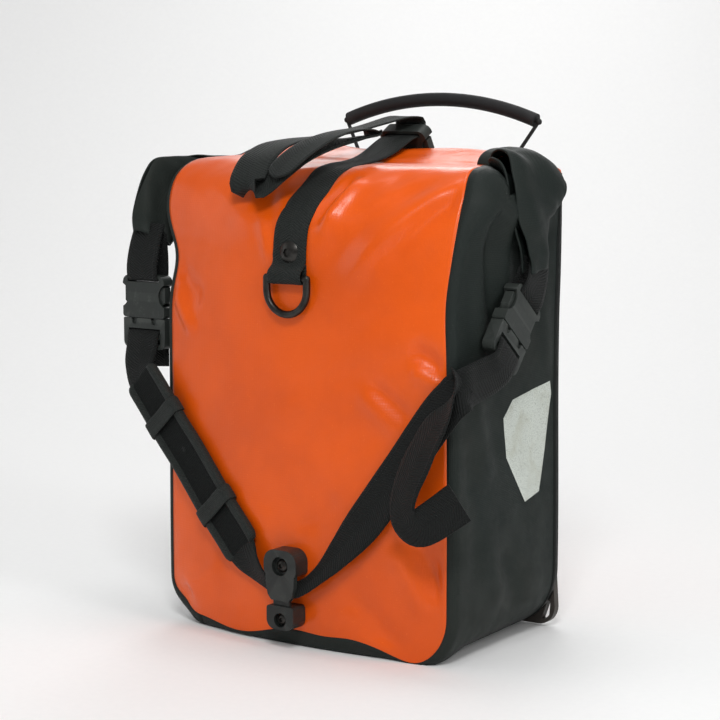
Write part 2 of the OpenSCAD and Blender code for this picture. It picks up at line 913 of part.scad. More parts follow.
module left_socket() { place_left() socket(); }
module right_socket() { place_right() socket(); }
module top_socket() { place_top() socket(); }
module left_plug() { place_left() plug(); }
module right_plug() { place_right() plug(); }
module top_plug() { place_top() plug(); }
module left_plug_arm_a() { place_left() plug_arm(1); }
module left_plug_arm_b() { place_left() plug_arm(-1); }
module right_plug_arm_a() { place_right() plug_arm(1); }
module right_plug_arm_b() { place_right() plug_arm(-1); }
module top_plug_arm_a() { place_top() plug_arm(1); }
module top_plug_arm_b() { place_top() plug_arm(-1); }

/* Side straps */

module left_ear_strap() {
  color(black)
    plate(seam_y + 4.3, seam_y + 4.3 + web_t)
      polygon([[-140, 219.4], [-116, 219.4], [-118, 240], [-136, 240]]);
}

module right_ear_strap() {
  color(black)
    across(half_w + 5.5, half_w + 5.5 + web_t)
      polygon([[0, 223], [16, 206], [31, 225], [20, 226.5]]);
}

/* Shoulder strap and pad. Each run leans back from the retainer to the side seam. */

strap_y = front_y - 8.6;
strap_lean = 7.4;
pad_top = [-127, 156];
pad_low = [-35, 56];
pad_dir = (pad_low - pad_top) / norm(pad_low - pad_top);
pad_normal = [-pad_dir[1], pad_dir[0]];
pad_half_w = 15;
pad_len = norm(pad_low - pad_top);
pad_angle = atan2(pad_dir[1], pad_dir[0]);
pad_front = strap_y - 3.6;
pad_back = strap_y + web_t + 2.2;
band_places = [0.25, 0.75];

module lean(side) {
  translate([0, strap_y, 0])
    rotate([0, 0, side * strap_lean])
      translate([0, -strap_y, 0]) children();
}

module on_pad() {
  translate(pad_top) rotate(pad_angle) children();
}

module shoulder_strap() {
  h = web_w / 2;
  start = pad_top - 8 * pad_dir;
  end = pad_low + 5 * pad_dir;
  reach = half_w + 8;
  color(black) {
    lean(-1)
      plate(strap_y, strap_y + web_t)
        polygon([start + h * pad_normal, start - h * pad_normal, end - h * pad_normal,
                 [-9, 33], [-9, 41], end + h * pad_normal]);
    plate(strap_y - 0.2, strap_y + web_t + 2) translate([-12, 31]) square([24, 12]);
    lean(1)
      plate(strap_y, strap_y + web_t)
        polygon([[9, 33], [50, 66], [reach, 152], [reach, 176], [40, 76], [9, 41]]);
    across(half_w + 5, half_w + 9)
      translate([seam_y - 9, 150]) square([4.5, 28]);
    across(half_w + 5.5, half_w + 5.5 + web_t)
      polygon([[seam_y - 6, 152], [seam_y - 6, 176], [-38, 184], [-25, 167]]);
  }
}

module strap_tail() {
  tail_y = strap_y - 3.4;
  color(black)
    lean(1)
      plate(tail_y, tail_y + web_t)
        polygon(concat([[116, 158], [104, 164], [74, 88]], arc(92, 80, 18, 160, 300, 8),
                       [[134, 92], [128, 108], [104, 86], [97, 92]]));
}

module shoulder_pad() {
  color(charcoal)
    lean(-1)
      difference() {
        plate(pad_front, pad_back)
          on_pad() polygon(round_box(0, -pad_half_w, pad_len, pad_half_w, [5, 5, 5, 5]));
        plate(strap_y - 0.4, strap_y + web_t + 0.4)
          on_pad() translate([-10, -web_w / 2 - 0.4]) square([pad_len + 20, web_w + 0.8]);
        for (place = band_places)
          plate(pad_front - 1, pad_front + 1.5)
            on_pad()
              translate([place * pad_len - 5, -pad_half_w - 1]) square([10, 2 * pad_half_w + 2]);
      }
}

module pad_bands() {
  color(black)
    lean(-1)
      for (place = band_places)
        plate(pad_front + 0.1, pad_front + 1.4)
          on_pad()
            translate([place * pad_len - 4.8, -pad_half_w]) square([9.6, 2 * pad_half_w]);
}

front_panel();
back_panel();
gusset();
roll_top();
roll_stiffener();
back_stiffener();
left_reflector();
right_reflector();
scuff_plate();
edge_guard();
guard_screws();
hook_rail();
rail_screws();
lower_rail();
lower_rail_screws();
inner_nuts();
strap_retainer();
retainer_screws();
top_strap();
top_strap_tail();
top_strap_screw();
rail_strap();
left_ear_strap();
right_ear_strap();
shoulder_strap();
strap_tail();
left_socket();
right_socket();
top_socket();
left_plug();
right_plug();
top_plug();
left_plug_arm_a();
left_plug_arm_b();
right_plug_arm_a();
right_plug_arm_b();
top_plug_arm_a();
top_plug_arm_b();
left_hook();
right_hook();
left_latch_pin();
right_latch_pin();
left_latch_spring();
right_latch_spring();
left_latch();
right_latch();
handle_grip();
handle_cord();
lower_slider();
lower_hook();
lower_hook_screw();
d_ring();
shoulder_pad();
pad_bands();
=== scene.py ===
"""Roll-top pannier bag: fabric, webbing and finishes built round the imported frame.

All working sizes are in millimetres; meshes are scaled to metres when they are made.
+X right seen from the front, -Y front face, +Y rack side, +Z up.
"""
import math
import bpy
import numpy as np
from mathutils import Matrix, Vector
from mathutils.bvhtree import BVHTree


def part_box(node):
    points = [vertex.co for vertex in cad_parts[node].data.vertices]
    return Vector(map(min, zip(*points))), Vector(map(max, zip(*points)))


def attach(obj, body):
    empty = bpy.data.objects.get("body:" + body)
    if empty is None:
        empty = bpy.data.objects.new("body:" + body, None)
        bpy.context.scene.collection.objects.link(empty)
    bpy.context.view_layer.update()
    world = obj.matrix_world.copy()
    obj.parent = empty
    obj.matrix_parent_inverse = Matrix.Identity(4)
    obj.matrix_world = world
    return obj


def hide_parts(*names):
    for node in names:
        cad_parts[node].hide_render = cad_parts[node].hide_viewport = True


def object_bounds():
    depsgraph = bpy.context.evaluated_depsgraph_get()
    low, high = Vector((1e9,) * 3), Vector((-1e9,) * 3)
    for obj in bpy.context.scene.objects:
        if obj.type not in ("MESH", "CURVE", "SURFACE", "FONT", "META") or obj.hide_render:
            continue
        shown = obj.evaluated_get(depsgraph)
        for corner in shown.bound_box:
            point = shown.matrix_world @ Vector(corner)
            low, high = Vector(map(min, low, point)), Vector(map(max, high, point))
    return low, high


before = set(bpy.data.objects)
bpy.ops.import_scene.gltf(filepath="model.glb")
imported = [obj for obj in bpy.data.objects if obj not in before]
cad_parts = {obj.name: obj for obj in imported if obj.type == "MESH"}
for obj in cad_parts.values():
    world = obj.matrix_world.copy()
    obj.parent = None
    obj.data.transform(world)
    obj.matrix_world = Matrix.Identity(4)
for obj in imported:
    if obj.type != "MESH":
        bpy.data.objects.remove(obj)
cad_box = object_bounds()

MM = 0.001


def box_mm(node):
    lo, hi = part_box(node)
    return np.array(lo) / MM, np.array(hi) / MM


# Driving sizes, read from the frame
HALF_W = box_mm("gusset")[1][0]
FRONT_Y, TOP_Z = box_mm("front_panel")[0][1], box_mm("front_panel")[1][2]
BACK_Y = box_mm("back_panel")[1][1]
VIEW_AZIMUTH = math.radians(35)
FOOT_TUCK = 3.5
CROWN = 14.0
CORNER = 38.0
FRONT_CORNER = 29.0
SHOULDER_R = 52.0
SHOULDER_Z = TOP_Z - SHOULDER_R
SHOULDER_Y = FRONT_Y + SHOULDER_R
SEAM_Y = FRONT_Y + CROWN
EDGE = 5.0
BACK_SHEET_TOP = 286.0
WEB = box_mm("top_strap")[1][0]


# Small maths helpers
def smooth(t):
    t = np.clip(t, 0.0, 1.0)
    return t * t * (3 - 2 * t)


def bump(t):
    return np.exp(-np.square(t))


def unit(v):
    v = np.asarray(v, float)
    return v / np.maximum(np.linalg.norm(v, axis=-1, keepdims=True), 1e-9)


def wobble(x, z, seed, size):
    """Smooth seeded noise from a few sine waves, about -1 to 1."""
    rng = np.random.default_rng(seed)
    total = np.zeros(np.broadcast(x, z).shape)
    for _ in range(7):
        angle, phase = rng.uniform(0, 2 * math.pi, 2)
        freq = 2 * math.pi / (size * rng.uniform(0.6, 1.7))
        total += np.sin(freq * (x * math.cos(angle) + z * math.sin(angle)) + phase)
    return total / 3.5


def spline(points, count):
    """Catmull-Rom curve through rows of numbers, evenly spaced along the first three columns."""
    p = np.asarray(points, float)
    p = np.vstack([2 * p[0] - p[1], p, 2 * p[-1] - p[-2]])
    dense = []
    for a, b, c, d in zip(p[:-3], p[1:-2], p[2:-1], p[3:]):
        for t in np.linspace(0, 1, 24, endpoint=False):
            dense.append(0.5 * (2 * b + (c - a) * t + (2 * a - 5 * b + 4 * c - d) * t * t
                                + (3 * b - a - 3 * c + d) * t ** 3))
    dense.append(p[-2])
    dense = np.array(dense)
    length = np.concatenate([[0], np.cumsum(np.linalg.norm(np.diff(dense[:, :3], axis=0), axis=1))])
    at = np.linspace(0, length[-1], count)
    return np.stack([np.interp(at, length, dense[:, k]) for k in range(dense.shape[1])], 1), at


# Mesh helpers
def make_mesh(name, verts, faces, uvs=None, smooth_shade=True):
    """A mesh object from millimetre vertices; uvs holds one pair in millimetres per vertex."""
    mesh = bpy.data.meshes.new(name)
    mesh.from_pydata([tuple(v) for v in np.asarray(verts, float) * MM], [], faces)
    if uvs is not None:
        layer = mesh.uv_layers.new(name="UVMap")
        index = np.zeros(len(mesh.loops), int)
        mesh.loops.foreach_get("vertex_index", index)
        layer.data.foreach_set("uv", np.asarray(uvs, float)[index].ravel())
    mesh.polygons.foreach_set("use_smooth", [smooth_shade] * len(mesh.polygons))
    mesh.validate()
    obj = bpy.data.objects.new(name, mesh)
    bpy.context.scene.collection.objects.link(obj)
    return obj


def grid_faces(rows, cols, wrap=False, flip=False):
    faces = []
    for r in range(rows - 1):
        for c in range(cols if wrap else cols - 1):
            d = (c + 1) % cols
            quad = (r * cols + c, r * cols + d, (r + 1) * cols + d, (r + 1) * cols + c)
            faces.append(quad[::-1] if flip else quad)
    return faces


def grid_object(name, points, uvs, flip=False):
    rows, cols = points.shape[:2]
    return make_mesh(name, points.reshape(-1, 3), grid_faces(rows, cols, flip=flip),
                     np.asarray(uvs).reshape(-1, 2))


def grid_normals(points):
    along = np.gradient(points, axis=0)
    across = np.gradient(points, axis=1)
    return unit(np.cross(across, along))


def thicken(obj, thickness, offset=-1.0):
    solid = obj.modifiers.new("thickness", "SOLIDIFY")
    solid.thickness = thickness * MM
    solid.offset = offset


def finish(obj, material, body="bag", replaces=()):
    obj.data.materials.clear()
    obj.data.materials.append(material)
    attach(obj, body)
    if replaces:
        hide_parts(*replaces)
    return obj


# Materials: every finish is worked out from noise, waves and the mesh's own millimetres
class Finish:
    """A small node-graph writer round one Principled shader."""

    def __init__(self, name):
        self.mat = bpy.data.materials.new(name)
        self.mat.use_nodes = True
        self.tree = self.mat.node_tree
        self.shader = self.tree.nodes["Principled BSDF"]

    def put(self, n, key, value):
        if hasattr(n, key) and key.islower() and key not in n.inputs:
            setattr(n, key, value)
            return
        socket = n.inputs[int(key[1:])] if key[0] == "i" and key[1:].isdigit() else n.inputs[key]
        if isinstance(value, bpy.types.NodeSocket):
            self.tree.links.new(value, socket)
        else:
            socket.default_value = value

    def math(self, op, a, b=0.0):
        n = self.tree.nodes.new("ShaderNodeMath")
        n.operation = op
        self.put(n, "i0", a)
        self.put(n, "i1", b)
        return n.outputs[0]

    def coord(self, kind="Object"):
        """Position in millimetres."""
        n = self.tree.nodes.new("ShaderNodeTexCoord")
        scale = self.tree.nodes.new("ShaderNodeVectorMath")
        scale.operation = "SCALE"
        self.tree.links.new(n.outputs[kind], scale.inputs[0])
        scale.inputs["Scale"].default_value = 1.0 if kind == "UV" else 1 / MM
        return scale.outputs[0]

    def split(self, vector):
        n = self.tree.nodes.new("ShaderNodeSeparateXYZ")
        self.tree.links.new(vector, n.inputs[0])
        return n.outputs[0], n.outputs[1], n.outputs[2]

    def noise(self, vector, size, detail=3.0, rough=0.55):
        """Noise between 0 and 1 whose blobs are about size millimetres."""
        n = self.tree.nodes.new("ShaderNodeTexNoise")
        self.tree.links.new(vector, n.inputs["Vector"])
        n.inputs["Scale"].default_value = 1.0 / size
        n.inputs["Detail"].default_value = detail
        n.inputs["Roughness"].default_value = rough
        return n.outputs["Fac"]

    def cells(self, vector, size, feature="F1"):
        n = self.tree.nodes.new("ShaderNodeTexVoronoi")
        n.feature = feature
        self.tree.links.new(vector, n.inputs["Vector"])
        n.inputs["Scale"].default_value = 1.0 / size
        return n.outputs["Distance"]

    def remap(self, value, low, high, to_low, to_high):
        n = self.tree.nodes.new("ShaderNodeMapRange")
        n.interpolation_type = "SMOOTHSTEP"
        self.put(n, "i0", value)
        for k, v in zip((1, 2, 3, 4), (low, high, to_low, to_high)):
            n.inputs[k].default_value = v
        return n.outputs[0]

    def mix(self, factor, a, b):
        n = self.tree.nodes.new("ShaderNodeMix")
        n.data_type = "RGBA"
        for key, value in ((0, factor), (6, a), (7, b)):
            if isinstance(value, bpy.types.NodeSocket):
                self.tree.links.new(value, n.inputs[key])
            else:
                n.inputs[key].default_value = value
        return n.outputs[2]

    def wave(self, value, pitch):
        """Rounded ridges of the given pitch, 0 to 1."""
        turned = self.math("MULTIPLY", value, 2 * math.pi / pitch)
        return self.math("MULTIPLY_ADD", self.math("SINE", turned), 0.5)

    def bump(self, height, strength=0.5, distance=0.3):
        n = self.tree.nodes.new("ShaderNodeBump")
        n.inputs["Strength"].default_value = strength
        n.inputs["Distance"].default_value = distance * MM
        self.put(n, "Height", height)
        self.tree.links.new(n.outputs[0], self.shader.inputs["Normal"])

    def set(self, **values):
        for key, value in values.items():
            self.put(self.shader, key.replace("_", " "), value)
        return self.mat


def colour(r, g, b):
    """Display colour 0-255 to the linear values that shaders take."""
    return tuple(((c / 255) / 12.92 if c < 10 else ((c / 255 + 0.055) / 1.055) ** 2.4)
                 for c in (r, g, b)) + (1.0,)


def ridge_sum(f, *values):
    total = values[0]
    for value in values[1:]:
        total = f.math("ADD", total, value)
    return total


def coated_fabric(name, base, dull, light, rib=1.5, gloss=(0.30, 0.46), rib_depth=0.10,
                  shine=0.25, skin=0.2):
    """Coated polyester: a fine square rib under a smooth skin, soft stains and dull rubs."""
    f = Finish(name)
    uv = f.coord("UV")
    u, v, _ = f.split(uv)
    obj = f.coord()
    cloud = f.noise(obj, 70, 4)
    rub = f.noise(obj, 16, 6, 0.7)
    speck = f.noise(obj, 1.2, 2, 0.6)
    tone = f.mix(f.remap(cloud, 0.35, 0.7, 0, 1), base, dull)
    tone = f.mix(f.remap(speck, 0.62, 0.8, 0, 0.35), tone, light)
    ribs = ridge_sum(f, f.wave(u, rib), f.math("MULTIPLY", f.wave(v, rib), 0.8))
    height = ridge_sum(f, f.math("MULTIPLY", ribs, 0.5), f.math("MULTIPLY", speck, 0.5),
                       f.math("MULTIPLY", rub, 1.2))
    f.bump(height, 0.6, rib_depth)
    return f.set(Base_Color=tone, Roughness=f.remap(rub, 0.3, 0.75, *gloss),
                 Specular_IOR_Level=shine, Coat_Weight=skin, Coat_Roughness=0.17)


def webbing_finish(name, base, light, rib=1.7, ribs_deep=0.35):
    """Woven strap: ribs run across it, with two grooves beside its selvedges."""
    f = Finish(name)
    u, v, _ = f.split(f.coord("UV"))
    obj = f.coord()
    side = f.math("ABSOLUTE", u)
    herring = f.wave(f.math("ADD", v, f.math("MULTIPLY", side, 0.55)), rib)
    threads = f.wave(u, 0.9)
    fuzz = f.noise(obj, 0.8, 3, 0.7)
    groove = f.remap(f.math("ABSOLUTE", f.math("SUBTRACT", side, WEB - 2.6)), 0.0, 0.7, 0, 1)
    height = ridge_sum(f, herring, f.math("MULTIPLY", threads, 0.35), f.math("MULTIPLY", fuzz, 0.5),
                       f.math("MULTIPLY", groove, 0.9))
    f.bump(height, 0.8, ribs_deep)
    tone = f.mix(f.remap(fuzz, 0.35, 0.75, 0, 1), base, light)
    # Painted highlight: the raised ribs are lightened along their crests, which leaves painted shade in
    # the hollows between them
    tone = f.mix(f.remap(herring, 0.2, 1, 0, 0.5), tone, light)
    return f.set(Base_Color=tone, Roughness=0.66, Sheen_Weight=0.03, Sheen_Roughness=0.5,
                 Specular_IOR_Level=0.16)


def moulded_plastic(name, base, worn, grain=0.5, rough=(0.42, 0.6), depth=0.05):
    """Spark-eroded nylon: fine grain, handling marks and paler rubbed edges."""
    f = Finish(name)
    obj = f.coord()
    pits = f.cells(obj, grain)
    scuff = f.noise(obj, 7, 6, 0.75)
    scratch = f.noise(obj, 2.0, 5, 0.8)
    tone = f.mix(f.remap(scuff, 0.52, 0.72, 0, 0.7), base, worn)
    edge = f.tree.nodes.new("ShaderNodeNewGeometry").outputs["Pointiness"]
    tone = f.mix(f.remap(edge, 0.51, 0.58, 0, 0.55), tone, worn)
    f.bump(ridge_sum(f, pits, f.math("MULTIPLY", scratch, 0.8)), 0.5, depth)
    return f.set(Base_Color=tone, Roughness=f.remap(scuff, 0.3, 0.75, *rough),
                 Specular_IOR_Level=0.3)


def metal(name, base, rough=0.28):
    f = Finish(name)
    obj = f.coord()
    grain = f.noise(obj, 0.7, 4, 0.7)
    blot = f.noise(obj, 5, 3)
    f.bump(grain, 0.3, 0.04)
    darker = tuple(0.6 * c for c in base[:3]) + (1,)
    return f.set(Base_Color=f.mix(f.remap(blot, 0.4, 0.7, 0, 1), base, darker), Metallic=1.0,
                 Roughness=f.remap(grain, 0.3, 0.7, rough, rough + 0.15))


def brushed_sheet(name):
    """The thin dark scuff plate, with long fine draw marks and a bluish gloss."""
    f = Finish(name)
    obj = f.coord()
    x, _, z = f.split(obj)
    stretched = f.tree.nodes.new("ShaderNodeCombineXYZ")
    f.put(stretched, "i0", x)
    f.put(stretched, "i2", f.math("MULTIPLY", z, 0.04))
    streaks = f.noise(stretched.outputs[0], 1.6, 5, 0.7)
    scuff = f.noise(obj, 26, 5, 0.6)
    f.bump(streaks, 0.4, 0.06)
    tone = f.mix(f.remap(scuff, 0.4, 0.7, 0, 1), colour(4, 8, 11), colour(13, 18, 22))
    tone = f.mix(f.remap(streaks, 0.55, 0.8, 0, 0.3), tone, colour(34, 40, 44))
    return f.set(Base_Color=tone, Roughness=f.remap(streaks, 0.3, 0.7, 0.26, 0.42),
                 Specular_IOR_Level=0.25)


def reflective_film(name):
    """Silver film of tiny closed cells, slightly creased and soiled."""
    f = Finish(name)
    obj = f.coord()
    cell = f.cells(obj, 1.1, "DISTANCE_TO_EDGE")
    grime = f.noise(obj, 18, 5, 0.6)
    tone = f.mix(f.remap(cell, 0.0, 0.09, 0, 1), colour(156, 162, 156), colour(206, 212, 204))
    tone = f.mix(f.remap(grime, 0.45, 0.75, 0, 0.55), tone, colour(172, 173, 156))
    f.bump(f.remap(cell, 0, 0.12, 0, 1), 0.35, 0.06)
    return f.set(Base_Color=tone, Metallic=0.25, Roughness=f.remap(grime, 0.3, 0.7, 0.34, 0.5))


def foam_finish(name, base, light):
    """Knitted spacer mesh over the pad's foam."""
    f = Finish(name)
    u, v, _ = f.split(f.coord("UV"))
    obj = f.coord()
    knit = f.math("MULTIPLY", f.wave(u, 1.3), f.wave(v, 1.3))
    fuzz = f.noise(obj, 1.0, 4, 0.7)
    f.bump(ridge_sum(f, knit, fuzz), 0.8, 0.25)
    return f.set(Base_Color=f.mix(f.remap(fuzz, 0.3, 0.7, 0, 1), base, light), Roughness=0.8,
                 Specular_IOR_Level=0.15)


ORANGE = coated_fabric("orange_fabric", colour(226, 87, 4), colour(212, 80, 6),
                       colour(240, 118, 34))
CHARCOAL = coated_fabric("charcoal_fabric", colour(30, 36, 34), colour(37, 41, 38),
                         colour(64, 70, 66), rib=1.1, gloss=(0.5, 0.66), rib_depth=0.16,
                         shine=0.14, skin=0.0)
WELT = coated_fabric("welt_tape", colour(17, 20, 19), colour(23, 25, 24), colour(40, 43, 41),
                     rib=1.0, gloss=(0.42, 0.55), rib_depth=0.1, shine=0.14, skin=0.02)
WEBBING = webbing_finish("black_webbing", colour(8, 9, 9), colour(24, 27, 26))
TOP_WEBBING = webbing_finish("charcoal_webbing", colour(18, 21, 20), colour(38, 42, 40))
PAD_EDGE = webbing_finish("pad_binding", colour(22, 25, 24), colour(44, 48, 46), rib=1.2,
                          ribs_deep=0.2)
PAD_FACE = foam_finish("pad_mesh", colour(7, 9, 9), colour(22, 25, 24))
BLACK_PLASTIC = moulded_plastic("black_plastic", colour(25, 25, 26), colour(47, 46, 45))
GREY_PLASTIC = moulded_plastic("grey_plastic", colour(50, 46, 43), colour(76, 71, 66))
BUCKLE_PLASTIC = moulded_plastic("buckle_plastic", colour(38, 42, 40), colour(66, 70, 67),
                                 rough=(0.38, 0.52))
RETAINER_PLASTIC = moulded_plastic("retainer_plastic", colour(25, 28, 27), colour(55, 58, 56),
                                   rough=(0.28, 0.42))
RUBBER = moulded_plastic("grip_rubber", colour(27, 27, 28), colour(41, 41, 42), grain=0.8,
                         rough=(0.55, 0.7), depth=0.08)
STEEL = metal("steel", (0.55, 0.55, 0.54, 1))
BLACK_STEEL = metal("black_steel", (0.05, 0.048, 0.045, 1), 0.3)
SCUFF = brushed_sheet("scuff_sheet")
FILM = reflective_film("reflective_film")


# The bag's shape. Sheets share one field of bends, so their seams stay together.
def front_y(x):
    """The crowned front face."""
    return SEAM_Y - CROWN * (1 - np.square(np.clip(x / HALF_W, -1, 1)))


def bend(p):
    """Sags and pinches of the filled bag, the same for every sheet."""
    x, y, z = p[..., 0], p[..., 1], p[..., 2]
    q = p.copy()
    near_front = bump((y + 66) / 60)
    left = smooth((-x - 50) / 55)
    right = smooth((x - 50) / 55)
    q[..., 0] += left * near_front * (7.0 * bump((z - 234) / 20) - 6.0 * bump((z - 274) / 24))
    q[..., 0] -= right * near_front * (2.0 * bump((z - 214) / 26))
    q[..., 1] += right * near_front * 8.0 * bump((z - 262) / 36)
    q[..., 1] -= left * near_front * 6.0 * bump((z - 290) / 14)
    strap_pull = bump(x / 26) * bump((z - 282) / 15) * smooth((20 - y) / 40)
    q[..., 1] += 8.0 * strap_pull
    q[..., 2] -= 3.0 * strap_pull
    middle_side = bump((y - 5) / 55) * smooth(z / 40) * smooth((250 - z) / 60)
    q[..., 0] += (right - left) * middle_side * (-1.2 + 1.4 * np.sin(z / 37))
    on_front = smooth((-y - 20) / 30)
    low = smooth(z / 5) * smooth((44 - z) / 40)
    wave = 2.6 * np.sin(x / 23 + 0.9) + 1.7 * np.sin(x / 11.5 + 2.0) + 2.0
    wave -= 5.0 * bump((x - 78) / 18) - 3.0 * bump((x - 38) / 16)
    q[..., 2] += on_front * low * wave
    tuck = bump((x + 92) / 7) * bump((z - 17) / 9) * on_front
    q[..., 0] += 4.5 * tuck
    q[..., 2] += 3.5 * tuck
    crest = smooth((z - 262) / 25)
    q[..., 2] += crest * (-1.8 * bump((x - 20) / 50) + 0.7 * np.sin(x / 17) - 0.8 * smooth(x / 100))
    return q


CORNER_STEPS = 12
SIDE_STEPS = 66
ARC_STEPS = 26
FLAT_STEPS = 12
ROLL_CURVE = [(12, 0, 293.0), (26, 0, 296.6), (38, 0, 299.4), (49, 0, 298.8), (56, 0, 294),
              (57.6, 0, 290), (55.5, 0, 287), (50, 0, 286.4), (42, 0, 287.5)]


def seam_right(z_or_y, on_top):
    """Where the right seam runs: straight up the side, then drifting in over the shoulder."""
    if on_top:
        return HALF_W - EDGE - 6 - 14 * float(smooth((z_or_y + 21) / 32))
    return HALF_W - EDGE - 6 * float(smooth((z_or_y - 270) / 30)) ** 1.3


def sheet_rows():
    """Rows of the outer sheet: (kind, value, left X, right X, back height, edge radius)."""
    rows = []
    r = FRONT_CORNER - EDGE
    for i in range(CORNER_STEPS):
        a = math.pi / 2 * (1 - i / CORNER_STEPS)
        half = HALF_W - EDGE - r + r * math.cos(a)
        rows.append(("up", EDGE + r - r * math.sin(a), -half, half,
                     CORNER - CORNER * math.sin(a), EDGE))
    wide = HALF_W - EDGE
    for i in range(SIDE_STEPS + 1):
        t = i / SIDE_STEPS
        z = FRONT_CORNER + (SHOULDER_Z - FRONT_CORNER) * t
        rows.append(("up", z, -wide, wide, CORNER + (SHOULDER_Z - CORNER) * t, EDGE))
    total = ARC_STEPS + FLAT_STEPS
    for i in range(1, ARC_STEPS + 1):
        a = math.pi / 2 * i / ARC_STEPS
        z = SHOULDER_Z + SHOULDER_R * math.sin(a)
        rows.append(("arc", a, -wide, seam_right(z, False),
                     SHOULDER_Z + (BACK_SHEET_TOP - SHOULDER_Z) * i / total,
                     EDGE + 13 * float(smooth((z - 240) / 50))))
    for i in range(1, FLAT_STEPS + 1):
        y = SHOULDER_Y + (ROLL_CURVE[0][0] - SHOULDER_Y) * i / FLAT_STEPS
        rows.append(("flat", y, -wide, seam_right(y, True),
                     SHOULDER_Z + (BACK_SHEET_TOP - SHOULDER_Z) * (ARC_STEPS + i) / total,
                     EDGE + 13))
    return rows


SHEET_COLS = 110


def crease(p, a, b, width, height):
    """A soft ridge or valley along the line from a to b, over columns X and height Z."""
    ax, az = a
    bx, bz = b
    dx, dz = bx - ax, bz - az
    length2 = dx * dx + dz * dz
    t = ((p[..., 0] - ax) * dx + (p[..., 1] - az) * dz) / length2
    across = np.abs((p[..., 0] - ax) * dz - (p[..., 1] - az) * dx) / math.sqrt(length2)
    ends = smooth((t + 0.25) / 0.4) * smooth((1.25 - t) / 0.4)
    return height * bump(across / width) * ends


# Creases of the outer sheet, over X and the distance s up the sheet from its lower edge
OUTER_CREASES = (
    [((16, 262), (24, 292), 5, 2.6), ((23, 258), (33, 290), 4, -2.4),
     ((26, 236), (74, 290), 9, 2.4), ((46, 232), (92, 284), 7, -1.8),
     ((64, 240), (100, 280), 8, 1.9), ((36, 268), (60, 300), 7, 1.4),
     ((-20, 262), (-34, 292), 6, 1.8), ((-30, 250), (-70, 288), 9, -1.2),
     ((-16, 236), (-24, 262), 4, -1.4)]
    + [((-101, 214), (-84, 190), 4.5, -2.6), ((-100, 224), (-78, 208), 7, 1.8)]
    + [((84, 186), (101, 176), 6, 2.4), ((84, 174), (102, 165), 5, -2.0),
       ((58, 164), (78, 148), 4.5, 1.8), ((50, 158), (72, 138), 5, -1.3)]
    + [((84, 74), (101, 44), 8, 2.6), ((74, 66), (90, 34), 8, -1.8), ((40, 36), (70, 12), 10, 1.6),
       ((-60, 40), (-92, 22), 8, -1.4), ((8, 70), (30, 92), 7, 1.1), ((-12, 66), (-40, 90), 8, -0.6)]
)


def outer_relief(x, s):
    p = np.stack([x, s], -1)
    total = 1.5 * sum(crease(p, *c) for c in OUTER_CREASES)
    total += 0.55 * wobble(x, s, 4, 70) + 0.16 * wobble(x, s, 9, 22)
    strap = smooth((15 - np.abs(x)) / 8) * smooth((s - 205) / 10)
    retainer = smooth((22 - np.abs(x)) / 10) * smooth((80 - s) / 12)
    return total * (1 - np.maximum(strap, retainer))


def outer_sheet():
    """Points of the orange sheet that makes the front, the shoulder and the roll."""
    u = np.linspace(0, 1, SHEET_COLS)
    body = []
    for kind, value, left, right, _, _ in sheet_rows():
        x = left + (right - left) * u
        if kind == "up":
            under = 3.5 * np.square(np.clip((26 - value) / 26, 0, 1))
            y, z = front_y(x) + under, np.full_like(x, value)
        elif kind == "arc":
            y = SHOULDER_Y + (front_y(x) - SHOULDER_Y) * math.cos(value)
            z = np.full_like(x, SHOULDER_Z + SHOULDER_R * math.sin(value))
        else:
            y, z = np.full_like(x, value), np.full_like(x, TOP_Z + 0.4)
        body.append(np.stack([x, y, z], -1))
    roll, _ = spline(ROLL_CURVE, 26)
    left, right = body[-1][0, 0], body[-1][-1, 0]
    for y, _, z in roll[1:]:
        x = left + (right - left) * u
        body.append(np.stack([x, np.full_like(x, y), np.full_like(x, z)], -1))
    points = np.array(body)
    steps = np.linalg.norm(np.diff(points[:, SHEET_COLS // 2], axis=0), axis=1)
    s = np.concatenate([[0], np.cumsum(steps)])[:, None] + EDGE + 0 * points[..., 0]
    x = points[..., 0]
    rim = np.minimum(smooth(u / 0.035), smooth((1 - u) / 0.035))[None, :]
    relief = outer_relief(x, s) * rim * smooth((s - EDGE) / 8)
    on_roll = smooth((s - 365) / 20)
    relief = relief * (1 - 0.5 * on_roll) + on_roll * 0.9 * wobble(x, s * 2.5, 21, 46) * rim
    normals = -grid_normals(points)
    return bend(points + normals * relief[..., None]), np.stack([x, s], -1)


def edge_frame(index, rows, cols):
    """Outward direction of the seam at one place of the path round the outer sheet."""
    if index < rows:
        row, side = rows - 1 - index, -1
    elif index < rows + cols:
        return np.array([0, 0, -1.0]), 0, 0
    else:
        row, side = index - rows - cols, 1
    if row < CORNER_STEPS:
        a = math.pi / 2 * (1 - row / CORNER_STEPS)
        return np.array([side * math.cos(a), 0, -math.sin(a)]), side, row
    return np.array([side * 1.0, 0, 0]), side, row


GUSSET_DEPTH_STEPS = 44
ROUND_STEPS = 6


